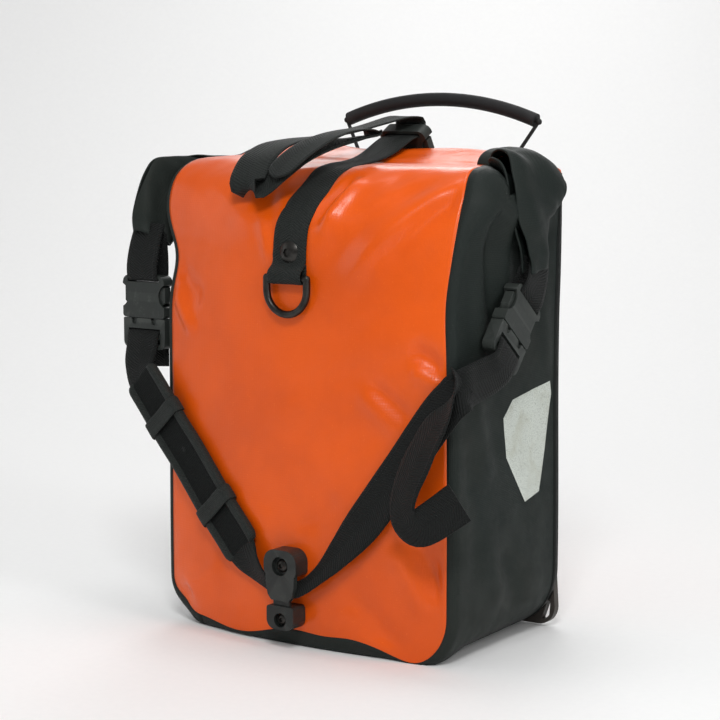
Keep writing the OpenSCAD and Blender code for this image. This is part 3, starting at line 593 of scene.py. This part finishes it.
def gusset_sheet():
    """Points of the dark strip from the front seam, round the edge and back to the rack side."""
    spec = sheet_rows()
    rows, cols = len(spec), SHEET_COLS
    plain = []
    for kind, value, _, right, _, _ in spec:
        if kind == "up":
            under = FOOT_TUCK * max(0.0, (26 - value) / 26) ** 2
            plain.append((float(front_y(right)) + under, value, np.array([0, -1.0, 0])))
        elif kind == "arc":
            y = SHOULDER_Y + (float(front_y(right)) - SHOULDER_Y) * math.cos(value)
            plain.append((y, SHOULDER_Z + SHOULDER_R * math.sin(value),
                          np.array([0, -math.cos(value), math.sin(value)])))
        else:
            plain.append((value, TOP_Z + 0.4, np.array([0, 0, 1.0])))
    lines, uvs = [], []
    length = 0.0
    last = None
    for i in range(2 * rows + cols):
        out, side, row = edge_frame(i, rows, cols)
        if side == 0:
            half = spec[0][3]
            x = -half + 2 * half * (i - rows) / (cols - 1)
            seam = np.array([x, float(front_y(x)) + FOOT_TUCK, EDGE])
            normal, back, radius = np.array([0, -1.0, 0]), np.array([x, BACK_Y, 0.0]), EDGE
        else:
            y, z, normal = plain[row]
            radius = spec[row][5] if side > 0 else EDGE
            seam = np.array([spec[row][3] if side > 0 else spec[row][2], y, z])
            half = HALF_W
            if row < CORNER_STEPS:
                a = math.pi / 2 * (1 - row / CORNER_STEPS)
                half = HALF_W - CORNER + CORNER * math.cos(a)
            back = np.array([side * half, BACK_Y, spec[row][4]])
        centre = seam - radius * normal
        turn = np.linspace(0, math.pi / 2, ROUND_STEPS)
        bendy = [centre + radius * (math.sin(t) * out + math.cos(t) * normal) for t in turn]
        start = bendy[-1]
        share = np.linspace(0, 1, GUSSET_DEPTH_STEPS)[1:]
        wall = [start + (back - start) * t for t in share]
        line = np.array(bendy + wall)
        beside = line[ROUND_STEPS + 6]
        if last is not None:
            length += float(np.linalg.norm(beside - last))
        last = beside
        depth = np.concatenate([[0], np.cumsum(np.linalg.norm(np.diff(line, axis=0), axis=1))])
        lines.append(line)
        uvs.append(np.stack([np.full(len(line), length), depth], -1))
    return np.array(lines), np.array(uvs)


def side_relief(points):
    """Soft folds of the gusset: under the ears, over the reflectors and near the base."""
    x, y, z = points[..., 0], points[..., 1], points[..., 2]
    yz = np.stack([y, z], -1)
    right = smooth((x - 80) / 20)
    left = smooth((-x - 80) / 20)
    folds = [((-38, 272), (-16, 196), 6, -2.2), ((-44, 262), (-30, 190), 7, 2.4),
             ((-14, 262), (-4, 215), 7, 2.6), ((24, 226), (48, 252), 7, -1.8),
             ((40, 210), (50, 160), 9, 1.2), ((-36, 152), (-22, 108), 8, 1.8),
             ((-46, 120), (-36, 62), 9, -1.3), ((-28, 66), (-10, 34), 9, 2.0),
             ((-8, 58), (12, 26), 7, -1.6), ((20, 40), (44, 14), 9, 1.3)]
    other = [((50, 268), (8, 232), 7, 2.6), ((44, 250), (-6, 214), 7, -2.6),
             ((20, 270), (-28, 236), 8, 1.6), ((-30, 232), (-50, 186), 7, -1.6),
             ((-34, 70), (6, 22), 8, 1.8), ((-10, 66), (22, 24), 7, -1.5),
             ((44, 60), (20, 20), 9, 1.2)]
    total = right * sum(crease(yz, *f) for f in folds) + left * sum(crease(yz, *f) for f in other)
    total += (right + left) * (0.5 * wobble(y, z, 31, 60) + 0.14 * wobble(y, z, 32, 18))
    return total


def build_shell():
    """The orange outer sheet and the dark gusset."""
    points, uv = outer_sheet()
    shell = grid_object("outer_sheet", points, uv)
    thicken(shell, 1.1, 0.0)
    finish(shell, ORANGE, replaces=("front_panel", "roll_top"))

    side, side_uv = gusset_sheet()
    rows = len(sheet_rows())
    depth = np.arange(side.shape[1])
    hold = smooth((depth - 3) / 7) * smooth((side.shape[1] - 1 - depth) / 7)
    normals = grid_normals(side)
    outward = np.sign(np.sum(normals[..., :1] * np.sign(side[..., :1]), -1))
    outward[outward == 0] = 1
    flat = smooth((np.abs(side[..., 0]) - 84) / 14)
    side = side + normals * (outward * side_relief(side) * hold[None, :] * flat)[..., None]
    side = bend(side)
    # the first column follows the orange sheet's own edge, so no gap opens at the seam
    rim = np.concatenate([points[:rows, 0][::-1], points[0, :], points[:rows, -1]])
    drift = rim - side[:, 0]
    side += drift[:, None, :] * np.clip(1 - depth / 8, 0, 1)[None, :, None]
    gusset = grid_object("gusset_fabric", side, side_uv, flip=True)
    thicken(gusset, 1.1, 0.0)
    finish(gusset, CHARCOAL, replaces=("gusset",))
    return points, side, gusset


def build_back(side):
    """The flat orange back, whose edge is the gusset's last column."""
    rows = len(sheet_rows())
    left = side[:rows, -1][::-1]
    right = side[rows + SHEET_COLS:, -1]
    cols = 70
    u = np.linspace(0, 1, cols)[None, :, None]
    sheet = left[:, None, :] * (1 - u) + right[:, None, :] * u
    x, z = sheet[..., 0], sheet[..., 2]
    rim = smooth(np.linspace(0, 1, cols) / 0.06) * smooth((1 - np.linspace(0, 1, cols)) / 0.06)
    panel = 1 - smooth((z - 120) / 14) * smooth((228 - z) / 10)
    hold = rim[None, :] * (1 - panel)
    sheet[..., 1] -= hold * (0.6 + 0.7 * wobble(x, z, 51, 80))
    top = [sheet[-1] + np.array([0, -0.8, 1.6]), sheet[-1] + np.array([0, -3.5, 2.6]),
           sheet[-1] + np.array([0, -8, 3.0])]
    sheet = np.concatenate([sheet, np.array(top)])
    back = grid_object("back_sheet", sheet, np.stack([sheet[..., 0], sheet[..., 2]], -1),
                       flip=True)
    thicken(back, 1.1, 0.0)
    finish(back, ORANGE, replaces=("back_panel",))


def build_welt(side):
    """Dark tape welded over the gusset's back edge."""
    spread = [(-1, 0.2), (-1, 0.9), (-2, 0.95), (-3, 0.9), (-3, 0.1)]
    normals = grid_normals(side)
    centre = np.array([0, 0, 120.0])
    sign = np.sign(np.sum(normals * (side - centre) * np.array([1, 0, 1]), -1, keepdims=True))
    strips = [side[:, c] + normals[:, c] * sign[:, c] * lift for c, lift in spread]
    edge = side[:, -1] + np.array([0, 0.75, 0])
    inward = edge * np.array([0.955, 1, 1])
    sheet = np.stack([inward, edge] + strips, 1)
    cols = np.arange(sheet.shape[1])
    run = np.concatenate([[0], np.cumsum(np.linalg.norm(np.diff(edge, axis=0), axis=1))])
    uv = np.stack([np.broadcast_to(cols * 2.5, sheet.shape[:2]),
                   np.broadcast_to(run[:, None], sheet.shape[:2])], -1)
    tape = grid_object("welt_tape", sheet, uv)
    finish(tape, WELT)


def build_film(gusset, name, node):
    """A reflective patch that lies on the gusset, over the outline of its CAD patch."""
    hi = box_mm(node)[1]
    side = 1 if hi[0] > 0 else -1
    tree = BVHTree.FromObject(gusset, bpy.context.evaluated_depsgraph_get())
    outline = [(-4, 141), (7, 151), (49, 158), (51, 150), (36, 91), (19, 87), (-2, 117)]
    outline = [(side * y, z) for y, z in outline]
    cy = sum(y for y, _ in outline) / len(outline)
    cz = sum(z for _, z in outline) / len(outline)
    edge = []
    for (y0, z0), (y1, z1) in zip(outline, outline[1:] + outline[:1]):
        for t in np.linspace(0, 1, 9, endpoint=False):
            edge.append((y0 + (y1 - y0) * t, z0 + (z1 - z0) * t))
    rings = 12
    verts = []
    for ring in range(rings + 1):
        for y, z in edge:
            t = 1 - ring / rings * 0.98
            py, pz = cy + (y - cy) * t, cz + (z - cz) * t
            origin = Vector((side * 0.2, py * MM, pz * MM))
            hit = tree.ray_cast(origin, Vector((-side, 0, 0)))[0]
            x = hit.x / MM if hit else side * HALF_W
            fold = 0.5 * bump((py - cy - side * 6 - (pz - cz) * side * 0.28) / 3.0)
            lift = 0.45 if ring else 0.05
            verts.append((x + side * (lift + fold * (ring > 0)), py, pz))
    n = len(edge)
    faces = grid_faces(rings + 1, n, wrap=True, flip=side < 0)
    faces.append(tuple(range(rings * n, rings * n + n))[::side])
    film = make_mesh(name, verts, faces, [(v[1], v[2]) for v in verts])
    finish(film, FILM, replaces=(node,))


# Folded ends of the roll: flattened tubes that open towards the front
def ear(name, stations, square=True, around=56, steps=70):
    """Stations hold centre, direction to the mouth, half width, half thickness, mouth angle."""
    rows, at = spline(stations, steps)
    centre, reach = rows[:, :3], unit(rows[:, 3:6])
    along = unit(np.gradient(centre, axis=0))
    if square:
        reach = unit(reach - along * np.sum(reach * along, 1, keepdims=True))
    thick = unit(np.cross(along, reach))
    share = np.linspace(0, 1, around)
    angle = np.radians(rows[:, 8:9] + (360 - 2 * rows[:, 8:9]) * share[None, :])
    wide, deep = np.cos(angle), np.sin(angle)
    wide = np.sign(wide) * np.abs(wide) ** 0.8
    points = (centre[:, None] + rows[:, 6][:, None, None] * wide[..., None] * reach[:, None]
              + rows[:, 7][:, None, None] * deep[..., None] * thick[:, None])
    fold = np.sin(wide * 4.4 + at[:, None] / 9.0) * 0.9 + 0.8 * wobble(at[:, None], wide * 22, 61, 20)
    fold = fold * smooth(at[:, None] / 14)
    points = points + thick[:, None] * (np.sign(deep) * fold)[..., None]
    uv = np.stack([share[None, :] * 90 + 0 * angle, at[:, None] + 0 * angle], -1)
    piece = grid_object(name, points, uv)
    thicken(piece, 1.2, 0.0)
    return finish(piece, CHARCOAL)


def build_ears():
    ear("right_ear", [
        (78, 35, 290.4, 0, -1, 0, 22.0, 9.8, 3), (90, 34, 290.2, 0, -1, 0, 23, 9.8, 3),
        (100, 30, 288.4, 0, -1, 0.05, 25, 9.2, 6), (108, 22, 284, 0, -1, 0.12, 27, 7.8, 12),
        (113, 15, 275, 0, -0.98, 0.2, 26, 6.6, 20), (115.4, 11, 262, 0, -0.98, 0.2, 21, 5.8, 26),
        (116.4, 12, 248, 0.1, -1, 0.1, 16.5, 5.2, 28), (116.6, 14, 237, 0.1, -1, 0, 13.5, 4.6, 26),
        (116.4, 15, 229, 0.1, -1, 0, 12.8, 4.0, 24)])
    edges = [((-96, 14, 291), (-96, 57, 290), 8.0, 3), ((-102, 12, 291), (-104, 55, 287), 7.4, 4),
             ((-109, -2, 292), (-109, 46, 281), 6.0, 8), ((-117, -20, 293), (-113, 28, 274), 4.6, 12),
             ((-123.5, -36, 293.5), (-116, 6, 268), 4.0, 14),
             ((-128.5, -46, 292), (-118, -14, 261), 3.8, 16),
             ((-131.5, -51, 284), (-119, -26, 255), 3.8, 18),
             ((-135, -55, 270), (-118.5, -34, 248), 4, 18),
             ((-137.6, -57, 257), (-117.5, -39, 242.5), 4, 18),
             ((-137, -57, 247), (-117, -45, 238.5), 3.8, 18)]
    stations = []
    for upper, lower, thick, mouth in edges:
        upper, lower = np.array(upper, float), np.array(lower, float)
        half = np.linalg.norm(upper - lower) / 2
        stations.append(tuple((upper + lower) / 2) + tuple((upper - lower) / (2 * half))
                        + (half, thick, mouth))
    ear("left_ear", stations, square=False)


# Webbing
SECTION_HALF = 7


def ribbon(name, stations, material=None, body="bag", thickness=1.4,
           round_end=0.0, replaces=(), step=2.4, loose=0.25, seed=1):
    """A flat strap. Stations hold its centre, the direction across it and its half width."""
    at = spline(stations, 8)[1]
    rows, at = spline(stations, max(8, int(at[-1] / step)))
    centre, across, half = rows[:, :3], unit(rows[:, 3:6]), rows[:, 6].copy()
    if round_end:
        past = np.clip((at - (at[-1] - round_end)) / round_end, 0, 0.985)
        half = half * np.sqrt(1 - past ** 2)
    along = unit(np.gradient(centre, axis=0))
    across = unit(across - along * np.sum(across * along, 1, keepdims=True))
    normal = np.cross(along, across)
    k = np.linspace(-1, 1, 2 * SECTION_HALF + 1)
    height = 0.5 * thickness * (1 - 0.45 * np.abs(k) ** 10)
    cup = 0.35 * wobble(at[:, None] + 0 * k, k * 12, seed, 40) * loose / 0.25
    ring_k = np.concatenate([k, k[::-1]])
    ring_h = np.concatenate([height, -height[::-1]])
    ring_c = np.concatenate([cup, cup[:, ::-1]], 1)
    points = (centre[:, None] + across[:, None] * (half[:, None] * ring_k)[..., None]
              + normal[:, None] * (ring_h[None] + ring_c)[..., None])
    n, cols = points.shape[:2]
    faces = grid_faces(n, cols, wrap=True)
    faces += [tuple(range(cols))[::-1], tuple(range((n - 1) * cols, n * cols))]
    uv = np.stack([half[:, None] * ring_k, at[:, None] + 0 * ring_k], -1)
    piece = make_mesh(name, points.reshape(-1, 3), faces, uv.reshape(-1, 2))
    return finish(piece, material or WEBBING, body, replaces)


def row(x, y, z, ax, ay, az, half):
    return (x, y, z, ax, ay, az, half)


D_BAR = (box_mm("d_ring")[0] + box_mm("d_ring")[1]) / 2
BAR_Y, BAR_Z = D_BAR[1], box_mm("d_ring")[1][2] - 2.25


def build_top_strap():
    """From the D-ring up the front, over the shoulder and into the top buckle."""
    h = WEB
    x = (1, 0, 0, h)
    path = [(0, -74.3, BAR_Z + 8) + x, (0, -74.4, BAR_Z + 2) + x, (0, BAR_Y + 1.6, BAR_Z - 2.7) + x,
            (0, BAR_Y - 1.8, BAR_Z - 2.6) + x, (0, BAR_Y - 3.2, BAR_Z + 0.5) + x,
            (0, BAR_Y - 2.2, BAR_Z + 4) + x, (0, -75.6, BAR_Z + 7.5) + x, (0, -74.4, 236) + x]
    reach = SHOULDER_R + 1.45
    for deg in (0, 18, 36, 54, 72, 88):
        a = math.radians(deg)
        path.append((0, SHOULDER_Y - reach * math.cos(a), SHOULDER_Z + reach * math.sin(a)) + x)
    path += [(0, -8, 294.2) + x, (0, 6, 295.2) + x, (0, 18, 298) + x, (0, 29, 302.6) + x,
             (0, 38, 306.2) + x, (0, 45, 307.9) + x, (0, 50.5, 309.8) + x]
    path = np.array(path, float)
    high = path[:, 2] > 240
    path[high, :3] = bend(path[high, :3])
    ribbon("top_webbing", path, TOP_WEBBING, replaces=("top_strap",), step=2.0, seed=2)


def build_top_tail():
    """The free end: out of the top buckle, round a loop to the left, and back to a rounded tip."""
    w = WEB - 0.6
    path = [row(0, 48, 309.2, 1, 0, 0, w), row(0, 54.5, 312.2, 1, 0, 0, w),
            row(-0.5, 53.4, 317.2, 1, 0, 0, w), row(-4, 45, 318.4, 0.93, -0.3, 0, w),
            row(-18, 25, 311.4, 0.8, -0.6, -0.05, w), row(-29, 3, 307, 0.84, -0.54, 0, w),
            row(-35.5, -19, 305, 0.93, -0.3, 0, w), row(-38, -39, 301.6, 0.97, -0.05, -0.05, w),
            row(-37, -56, 294.8, 0.98, 0.1, -0.08, w), row(-35, -67, 286.4, 0.98, 0.12, -0.1, w),
            row(-33.4, -72, 280, 0.98, 0.12, -0.1, w), row(-31, -71, 276.6, 0.97, 0.05, -0.15, w),
            row(-26.5, -67, 279.6, 0.93, -0.2, -0.25, w), row(-18, -60.5, 287.6, 0.89, -0.34, -0.3, w),
            row(-10, -49, 296.6, 0.88, -0.4, -0.25, w), row(-2, -32, 303.2, 0.86, -0.46, -0.15, w),
            row(5, -14, 306, 0.84, -0.5, 0, w), row(9.5, -1, 308.2, 0.84, -0.5, 0, w),
            row(7.6, -4, 311.4, 0.86, -0.48, 0, w), row(3, -17, 311, 0.9, -0.4, 0, w),
            row(-2, -33, 307.8, 0.92, -0.34, -0.05, w), row(-7, -48, 301.6, 0.93, -0.3, -0.1, w),
            row(-11, -60, 293.4, 0.93, -0.28, -0.12, w), row(-14, -70, 283.6, 0.93, -0.26, -0.14, w)]
    ribbon("top_webbing_tail", path, TOP_WEBBING, round_end=11, replaces=("top_strap_tail",), seed=3)


def build_rail_strap():
    w = WEB + 0.2
    x = (1, 0, 0, w)
    path = [(0, 67.0, 259) + x, (0, 67.3, 264) + x, (0, 67.4, 268.5) + x, (0, 65.6, 271.4) + x,
            (0, 66.2, 274.4) + x, (0, 69.2, 276.4) + x, (0, 73.4, 277) + x, (0, 75.6, 274.4) + x,
            (0, 74.4, 270) + x, (0, 70.6, 265.6) + x, (0, 69.0, 261) + x]
    ribbon("rail_webbing", path, replaces=("rail_strap",), step=1.5, seed=4)


def build_ear_straps():
    y, z = -54.0, 215.8
    x = (1, 0, 0, 12.2)
    path = [(-127, y + 2, z + 36) + x, (-127.4, y - 2.5, z + 24) + x, (-128, y - 5.4, z + 11) + x,
            (-128, y - 5.6, z + 3) + x, (-128, y - 4, z + 0.2) + x, (-128, y, z) + x,
            (-128, y + 4, z + 0.2) + x, (-128, y + 5.6, z + 3) + x, (-127.6, y + 5, z + 14) + x,
            (-127, y + 3.4, z + 30) + x]
    ribbon("left_ear_webbing", path, replaces=("left_ear_strap",), seed=5)
    a = (0, -0.766, 0.643, 12.2)
    path = [(117.5, 17.5, 240) + a, (119, 14.5, 229) + a, (120, 9.4, 219.4) + a,
            (119.8, 5.8, 214) + a, (117.8, 4.2, 211.3) + a, (114, 4.2, 211.2) + a,
            (111.4, 5.2, 213) + a, (112.4, 10, 220) + a, (115.6, 16, 234) + a]
    ribbon("right_ear_webbing", path, replaces=("right_ear_strap",), seed=6)


def build_shoulder_strap():
    """From the left buckle through the pad and the retainer, round the corner to the right."""
    w = 12.4
    path = [row(-127.2, -49.4, 160, 1, 0, 0, w), row(-128, -48.6, 172, 1, 0, 0, w),
            row(-128, -49.2, 181, 1, 0, 0, w), row(-128, -52, 183.6, 1, 0, 0, w),
            row(-128, -56.4, 183.6, 1, 0, 0, w), row(-128, -59.2, 181, 1, 0, 0, w),
            row(-128.4, -59.6, 174, 1, 0, 0, w), row(-128.6, -62, 165, 0.95, 0, 0.3, w),
            row(-125, -65.2, 154.5, 0.736, -0.1, 0.677, w), row(-112, -66.8, 140, 0.736, -0.1, 0.677, w),
            row(-80, -71, 105.4, 0.736, -0.1, 0.677, w), row(-44, -75.7, 66.2, 0.736, -0.1, 0.677, w),
            row(-33, -77.2, 54.4, 0.7, -0.1, 0.7, 12), row(-24, -79.2, 46.8, 0.5, -0.3, 0.8, 9),
            row(-14, -81, 40.6, 0.2, -0.4, 0.9, 6), row(-5, -81.5, 37.4, 0, -0.2, 1, 5),
            row(5, -81.5, 37.2, 0, 0.1, 1, 5), row(14, -81, 40.4, -0.3, 0.5, 0.9, 5.2),
            row(25, -80, 49, -0.6, 0.5, 0.7, 6.2), row(38, -78.4, 63, -0.8, 0.3, 0.6, 9.4),
            row(56, -76, 84.6, -0.8, 0.1, 0.6, w), row(80, -72.6, 118, -0.81, 0.02, 0.58, w),
            row(102, -69.4, 150, -0.8, 0, 0.6, w), row(111.6, -66.4, 161.6, -0.66, 0.05, 0.75, w),
            row(115.6, -59.6, 166.4, -0.1, -0.3, 0.95, w), row(116, -48, 169, 0, -0.3, 0.95, w),
            row(117, -36, 171.4, 0, -0.5, 0.86, w), row(119, -27, 175.4, 0, -0.7, 0.7, w),
            row(119.4, -21.6, 181, 0, -0.766, 0.643, w), row(118.6, -17.8, 185.4, 0, -0.766, 0.643, w),
            row(115, -16.6, 186.4, 0, -0.766, 0.643, w), row(112.4, -17, 186.4, 0, -0.766, 0.643, w)]
    ribbon("shoulder_webbing", path, replaces=("shoulder_strap",), step=2.2, seed=7)
    path = [row(114.5, -62, 171, -0.3, -0.6, 0.7, 11), row(113, -70.5, 163, 0.6, -0.7, 0.3, 11.4),
            row(107, -77, 148, 0.86, -0.5, 0, 11.8), row(98, -80.6, 130, 0.93, -0.36, 0, 12),
            row(90, -83.4, 110, 0.95, -0.28, 0.02, 11.8), row(87.6, -85.2, 98, 0.93, -0.2, 0.3, 11),
            row(91, -86.4, 90.4, 0.7, -0.1, 0.7, 10.6), row(99, -86.4, 87, 0.1, 0, 0.99, 10.8),
            row(108, -85, 91.5, -0.42, 0.05, 0.9, 11.8), row(124, -80, 104, -0.62, 0, 0.78, 12.4)]
    ribbon("shoulder_webbing_tail", path, replaces=("strap_tail",), step=2.2, loose=0.5, seed=8)


# Shoulder pad
PAD_TOP, PAD_LOW = np.array([-127.0, 156.0]), np.array([-35.0, 56.0])
STRAP_Y, STRAP_LEAN = FRONT_Y - 8.6, math.radians(7.4)
PAD_SECTION = [(-14.8, -1.6), (-15, 1.4), (-14, 3.1), (-12, 3.7), (-10.6, 3.2), (-9.6, 1.9),
               (-6, 1.6), (0, 1.5), (6, 1.6), (9.6, 1.9), (10.6, 3.2), (12, 3.7), (14, 3.1),
               (15, 1.4), (14.8, -1.6), (12.5, -3.1), (5, -3.5), (-5, -3.5), (-12.5, -3.1)]


def pad_frame():
    """Origin of the pad's centre line and its directions: along, across and outward."""
    direction = (PAD_LOW - PAD_TOP) / np.linalg.norm(PAD_LOW - PAD_TOP)
    c, s = math.cos(STRAP_LEAN), math.sin(STRAP_LEAN)
    origin = np.array([PAD_TOP[0] * c, STRAP_Y - PAD_TOP[0] * s, PAD_TOP[1]])
    along = np.array([direction[0] * c, -direction[0] * s, direction[1]])
    across = np.array([-direction[1] * c, direction[1] * s, direction[0]])
    return origin, along, across, np.cross(along, across)


def on_pad(s, t, h):
    origin, along, across, outward = pad_frame()
    return origin + along * s + across * t + outward * (h - 0.7)


def build_pad():
    length = float(np.linalg.norm(PAD_LOW - PAD_TOP))
    ring, _ = spline([(t, h, 0) for t, h in PAD_SECTION] + [(PAD_SECTION[0][0], PAD_SECTION[0][1], 0)],
                     60)
    ring = ring[:-1, :2]
    rows = []
    stations = np.concatenate([np.linspace(0, 6, 7), np.linspace(8, length - 8, 62),
                               np.linspace(length - 6, length, 7)])
    for s in stations:
        end = min(s, length - s)
        round_off = math.sqrt(max(0.0, 1 - ((6 - min(end, 6)) / 6) ** 2))
        wide, high = 0.80 + 0.2 * round_off, 0.35 + 0.65 * round_off
        sag = 0.35 * math.sin(s / 13.0) + 0.2 * math.sin(s / 5.3)
        rows.append([on_pad(s, t * wide + 0.25 * math.sin(s / 9.0), h * high + 0.4 * sag)
                     for t, h in ring])
    points = np.array(rows)
    n, cols = points.shape[:2]
    faces = grid_faces(n, cols, wrap=True)
    faces += [tuple(range(cols))[::-1], tuple(range((n - 1) * cols, n * cols))]
    uv = np.stack([np.broadcast_to(ring[:, 0], (n, cols)),
                   np.broadcast_to(stations[:, None], (n, cols))], -1)
    pad = make_mesh("pad_body", points.reshape(-1, 3), faces, uv.reshape(-1, 2))
    finish(pad, PAD_EDGE, "shoulder_pad", ("shoulder_pad",))
    pad.data.materials.append(PAD_FACE)
    for face in pad.data.polygons:
        first = face.vertices[0] % cols
        if len(face.vertices) == 4 and abs(ring[first, 0]) < 9.4 and ring[first, 1] > 0:
            face.material_index = 1
    for number, place in enumerate((0.25, 0.75)):
        s = place * length
        path = []
        along = pad_frame()[1]
        for t, h in [(-14.6, -2.6), (-15.9, -0.6), (-15.9, 2.2), (-13.6, 4.5), (-8, 4.7), (0, 4.3),
                     (8, 4.7), (13.6, 4.5), (15.9, 2.2), (15.9, -0.6), (14.6, -2.6)]:
            path.append(tuple(on_pad(s, t, h)) + tuple(along) + (5.2,))
        ribbon(f"pad_keeper_{'top' if number == 0 else 'low'}", path, PAD_EDGE, "shoulder_pad",
               thickness=1.3, replaces=("pad_bands",) if number == 0 else (),
               step=1.2, loose=0.1, seed=9 + number)


# CAD pieces that stay: each takes a finish, and its hard edges are softened
KEPT = {
    "hook_rail": BLACK_PLASTIC, "left_hook": BLACK_PLASTIC, "right_hook": BLACK_PLASTIC,
    "lower_hook": BLACK_PLASTIC, "lower_slider": BLACK_PLASTIC, "lower_hook_screw": BLACK_PLASTIC,
    "lower_rail": GREY_PLASTIC, "edge_guard": GREY_PLASTIC, "left_latch": GREY_PLASTIC,
    "right_latch": GREY_PLASTIC, "strap_retainer": RETAINER_PLASTIC,
    "roll_stiffener": BLACK_PLASTIC, "back_stiffener": BLACK_PLASTIC,
    "rail_screws": BLACK_STEEL, "guard_screws": BLACK_STEEL, "lower_rail_screws": BLACK_STEEL,
    "top_strap_screw": BLACK_STEEL, "d_ring": BLACK_STEEL, "retainer_screws": BLACK_STEEL,
    "inner_nuts": STEEL, "left_latch_pin": STEEL, "right_latch_pin": STEEL,
    "left_latch_spring": STEEL, "right_latch_spring": STEEL,
    "scuff_plate": SCUFF, "handle_grip": RUBBER, "handle_cord": RUBBER,
}
ROUND_NODES = ("inner_nuts", "left_latch_spring", "right_latch_spring", "handle_cord", "d_ring",
               "handle_grip", "left_latch_pin", "right_latch_pin")


def dress_cad_nodes():
    for name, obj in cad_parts.items():
        if obj.hide_render:
            continue
        material = KEPT.get(name, BUCKLE_PLASTIC)
        obj.data.materials.clear()
        obj.data.materials.append(material)
        if name in ROUND_NODES:
            continue
        weld = obj.modifiers.new("weld", "WELD")
        weld.merge_threshold = 0.00001
        soft = obj.modifiers.new("soft_edges", "BEVEL")
        soft.width = 0.35 * MM
        soft.segments = 2
        soft.limit_method = "ANGLE"
        soft.angle_limit = math.radians(38)
        soft.use_clamp_overlap = True


# Studio
def area_light(name, place, target, size, power, tint=(1, 1, 1)):
    data = bpy.data.lights.new(name, "AREA")
    data.shape, data.size, data.size_y = "RECTANGLE", size[0], size[1]
    data.energy, data.color = power, tint
    lamp = bpy.data.objects.new(name, data)
    lamp.location = place
    lamp.rotation_euler = (Vector(target) - Vector(place)).to_track_quat("-Z", "Y").to_euler()
    bpy.context.scene.collection.objects.link(lamp)


def clear_from_outside(f, sheet):
    """Lets a camera behind the backdrop look through it; light still meets it from both sides."""
    if sheet.data.polygons[0].normal.z < 0:
        sheet.data.flip_normals()
    facing = f.tree.nodes.new("ShaderNodeNewGeometry")
    path = f.tree.nodes.new("ShaderNodeLightPath")
    clear = f.tree.nodes.new("ShaderNodeBsdfTransparent")
    blend = f.tree.nodes.new("ShaderNodeMixShader")
    seen_through = f.math("MULTIPLY", facing.outputs["Backfacing"], path.outputs["Is Camera Ray"])
    f.tree.links.new(seen_through, blend.inputs[0])
    f.tree.links.new(f.shader.outputs[0], blend.inputs[1])
    f.tree.links.new(clear.outputs[0], blend.inputs[2])
    f.tree.links.new(blend.outputs[0], f.tree.nodes["Material Output"].inputs["Surface"])


def build_studio():
    floor_z = cad_box[0].z
    # metres: half width, distance of the wall behind the bag, its height, radius of the sweep
    half, back, rise, bend_r = 4.0, 1.6, 3.0, 0.9
    profile = [(-3.0, 0), (-1.0, 0)]
    for k in range(13):
        a = math.pi / 2 * k / 12
        profile.append((back - bend_r + bend_r * math.sin(a), bend_r - bend_r * math.cos(a)))
    profile.append((back, rise))
    away = Vector((-math.sin(VIEW_AZIMUTH), math.cos(VIEW_AZIMUTH), 0))
    across = Vector((math.cos(VIEW_AZIMUTH), math.sin(VIEW_AZIMUTH), 0))
    verts = [(away * d + across * side * half + Vector((0, 0, h + floor_z - 0.0004))) / MM
             for d, h in profile for side in (-1, 1)]
    floor = make_mesh("floor", [tuple(v) for v in verts], grid_faces(len(profile), 2))
    f = Finish("floor_paper")
    grain = f.noise(f.coord(), 5, 3)
    f.bump(grain, 0.1, 0.05)
    floor.data.materials.append(f.set(
        Base_Color=f.mix(grain, (0.86, 0.86, 0.86, 1), (0.90, 0.90, 0.895, 1)), Roughness=0.85))
    clear_from_outside(f, floor)
    world = bpy.data.worlds.new("studio")
    world.use_nodes = True
    tree = world.node_tree
    tree.nodes["Background"].inputs[0].default_value = (1, 1, 1, 1)
    path = tree.nodes.new("ShaderNodeLightPath")
    level = tree.nodes.new("ShaderNodeMapRange")
    level.inputs["To Min"].default_value = 0.36
    level.inputs["To Max"].default_value = 0.86
    tree.links.new(path.outputs["Is Camera Ray"], level.inputs["Value"])
    tree.links.new(level.outputs[0], tree.nodes["Background"].inputs[1])
    bpy.context.scene.world = world
    middle = (0, 0, 0.17)
    area_light("key", (0.75, -1.15, 1.35), middle, (0.4, 0.4), 14)
    area_light("strip", (1.5, -0.35, 0.75), middle, (0.25, 1.1), 6)
    area_light("fill", (-1.6, -1.0, 0.7), middle, (1.2, 1.2), 4)
    area_light("top", (0.0, 0.15, 1.8), middle, (0.9, 0.5), 7)
    area_light("back", (-0.7, 1.3, 1.0), middle, (0.7, 0.7), 6)
    bpy.context.scene.view_settings.view_transform = "Standard"


def build_camera():
    data = bpy.data.cameras.new("camera")
    data.lens = 108
    camera = bpy.data.objects.new("camera", data)
    bpy.context.scene.collection.objects.link(camera)
    bpy.context.scene.camera = camera
    azimuth, elevation = VIEW_AZIMUTH, math.radians(7.2)
    back = Vector((math.sin(azimuth) * math.cos(elevation),
                   -math.cos(azimuth) * math.cos(elevation), math.sin(elevation)))
    lo, hi = cad_box
    target = (lo + hi) / 2
    camera.location = target + back * 1.36
    camera.rotation_euler = (-back).to_track_quat("-Z", "Y").to_euler()


outer, side, gusset_piece = build_shell()
build_back(side)
build_welt(side)
build_film(gusset_piece, "right_film", "right_reflector")
build_film(gusset_piece, "left_film", "left_reflector")
build_ears()
build_top_strap()
build_top_tail()
build_rail_strap()
build_ear_straps()
build_shoulder_strap()
build_pad()
dress_cad_nodes()
build_studio()
build_camera()
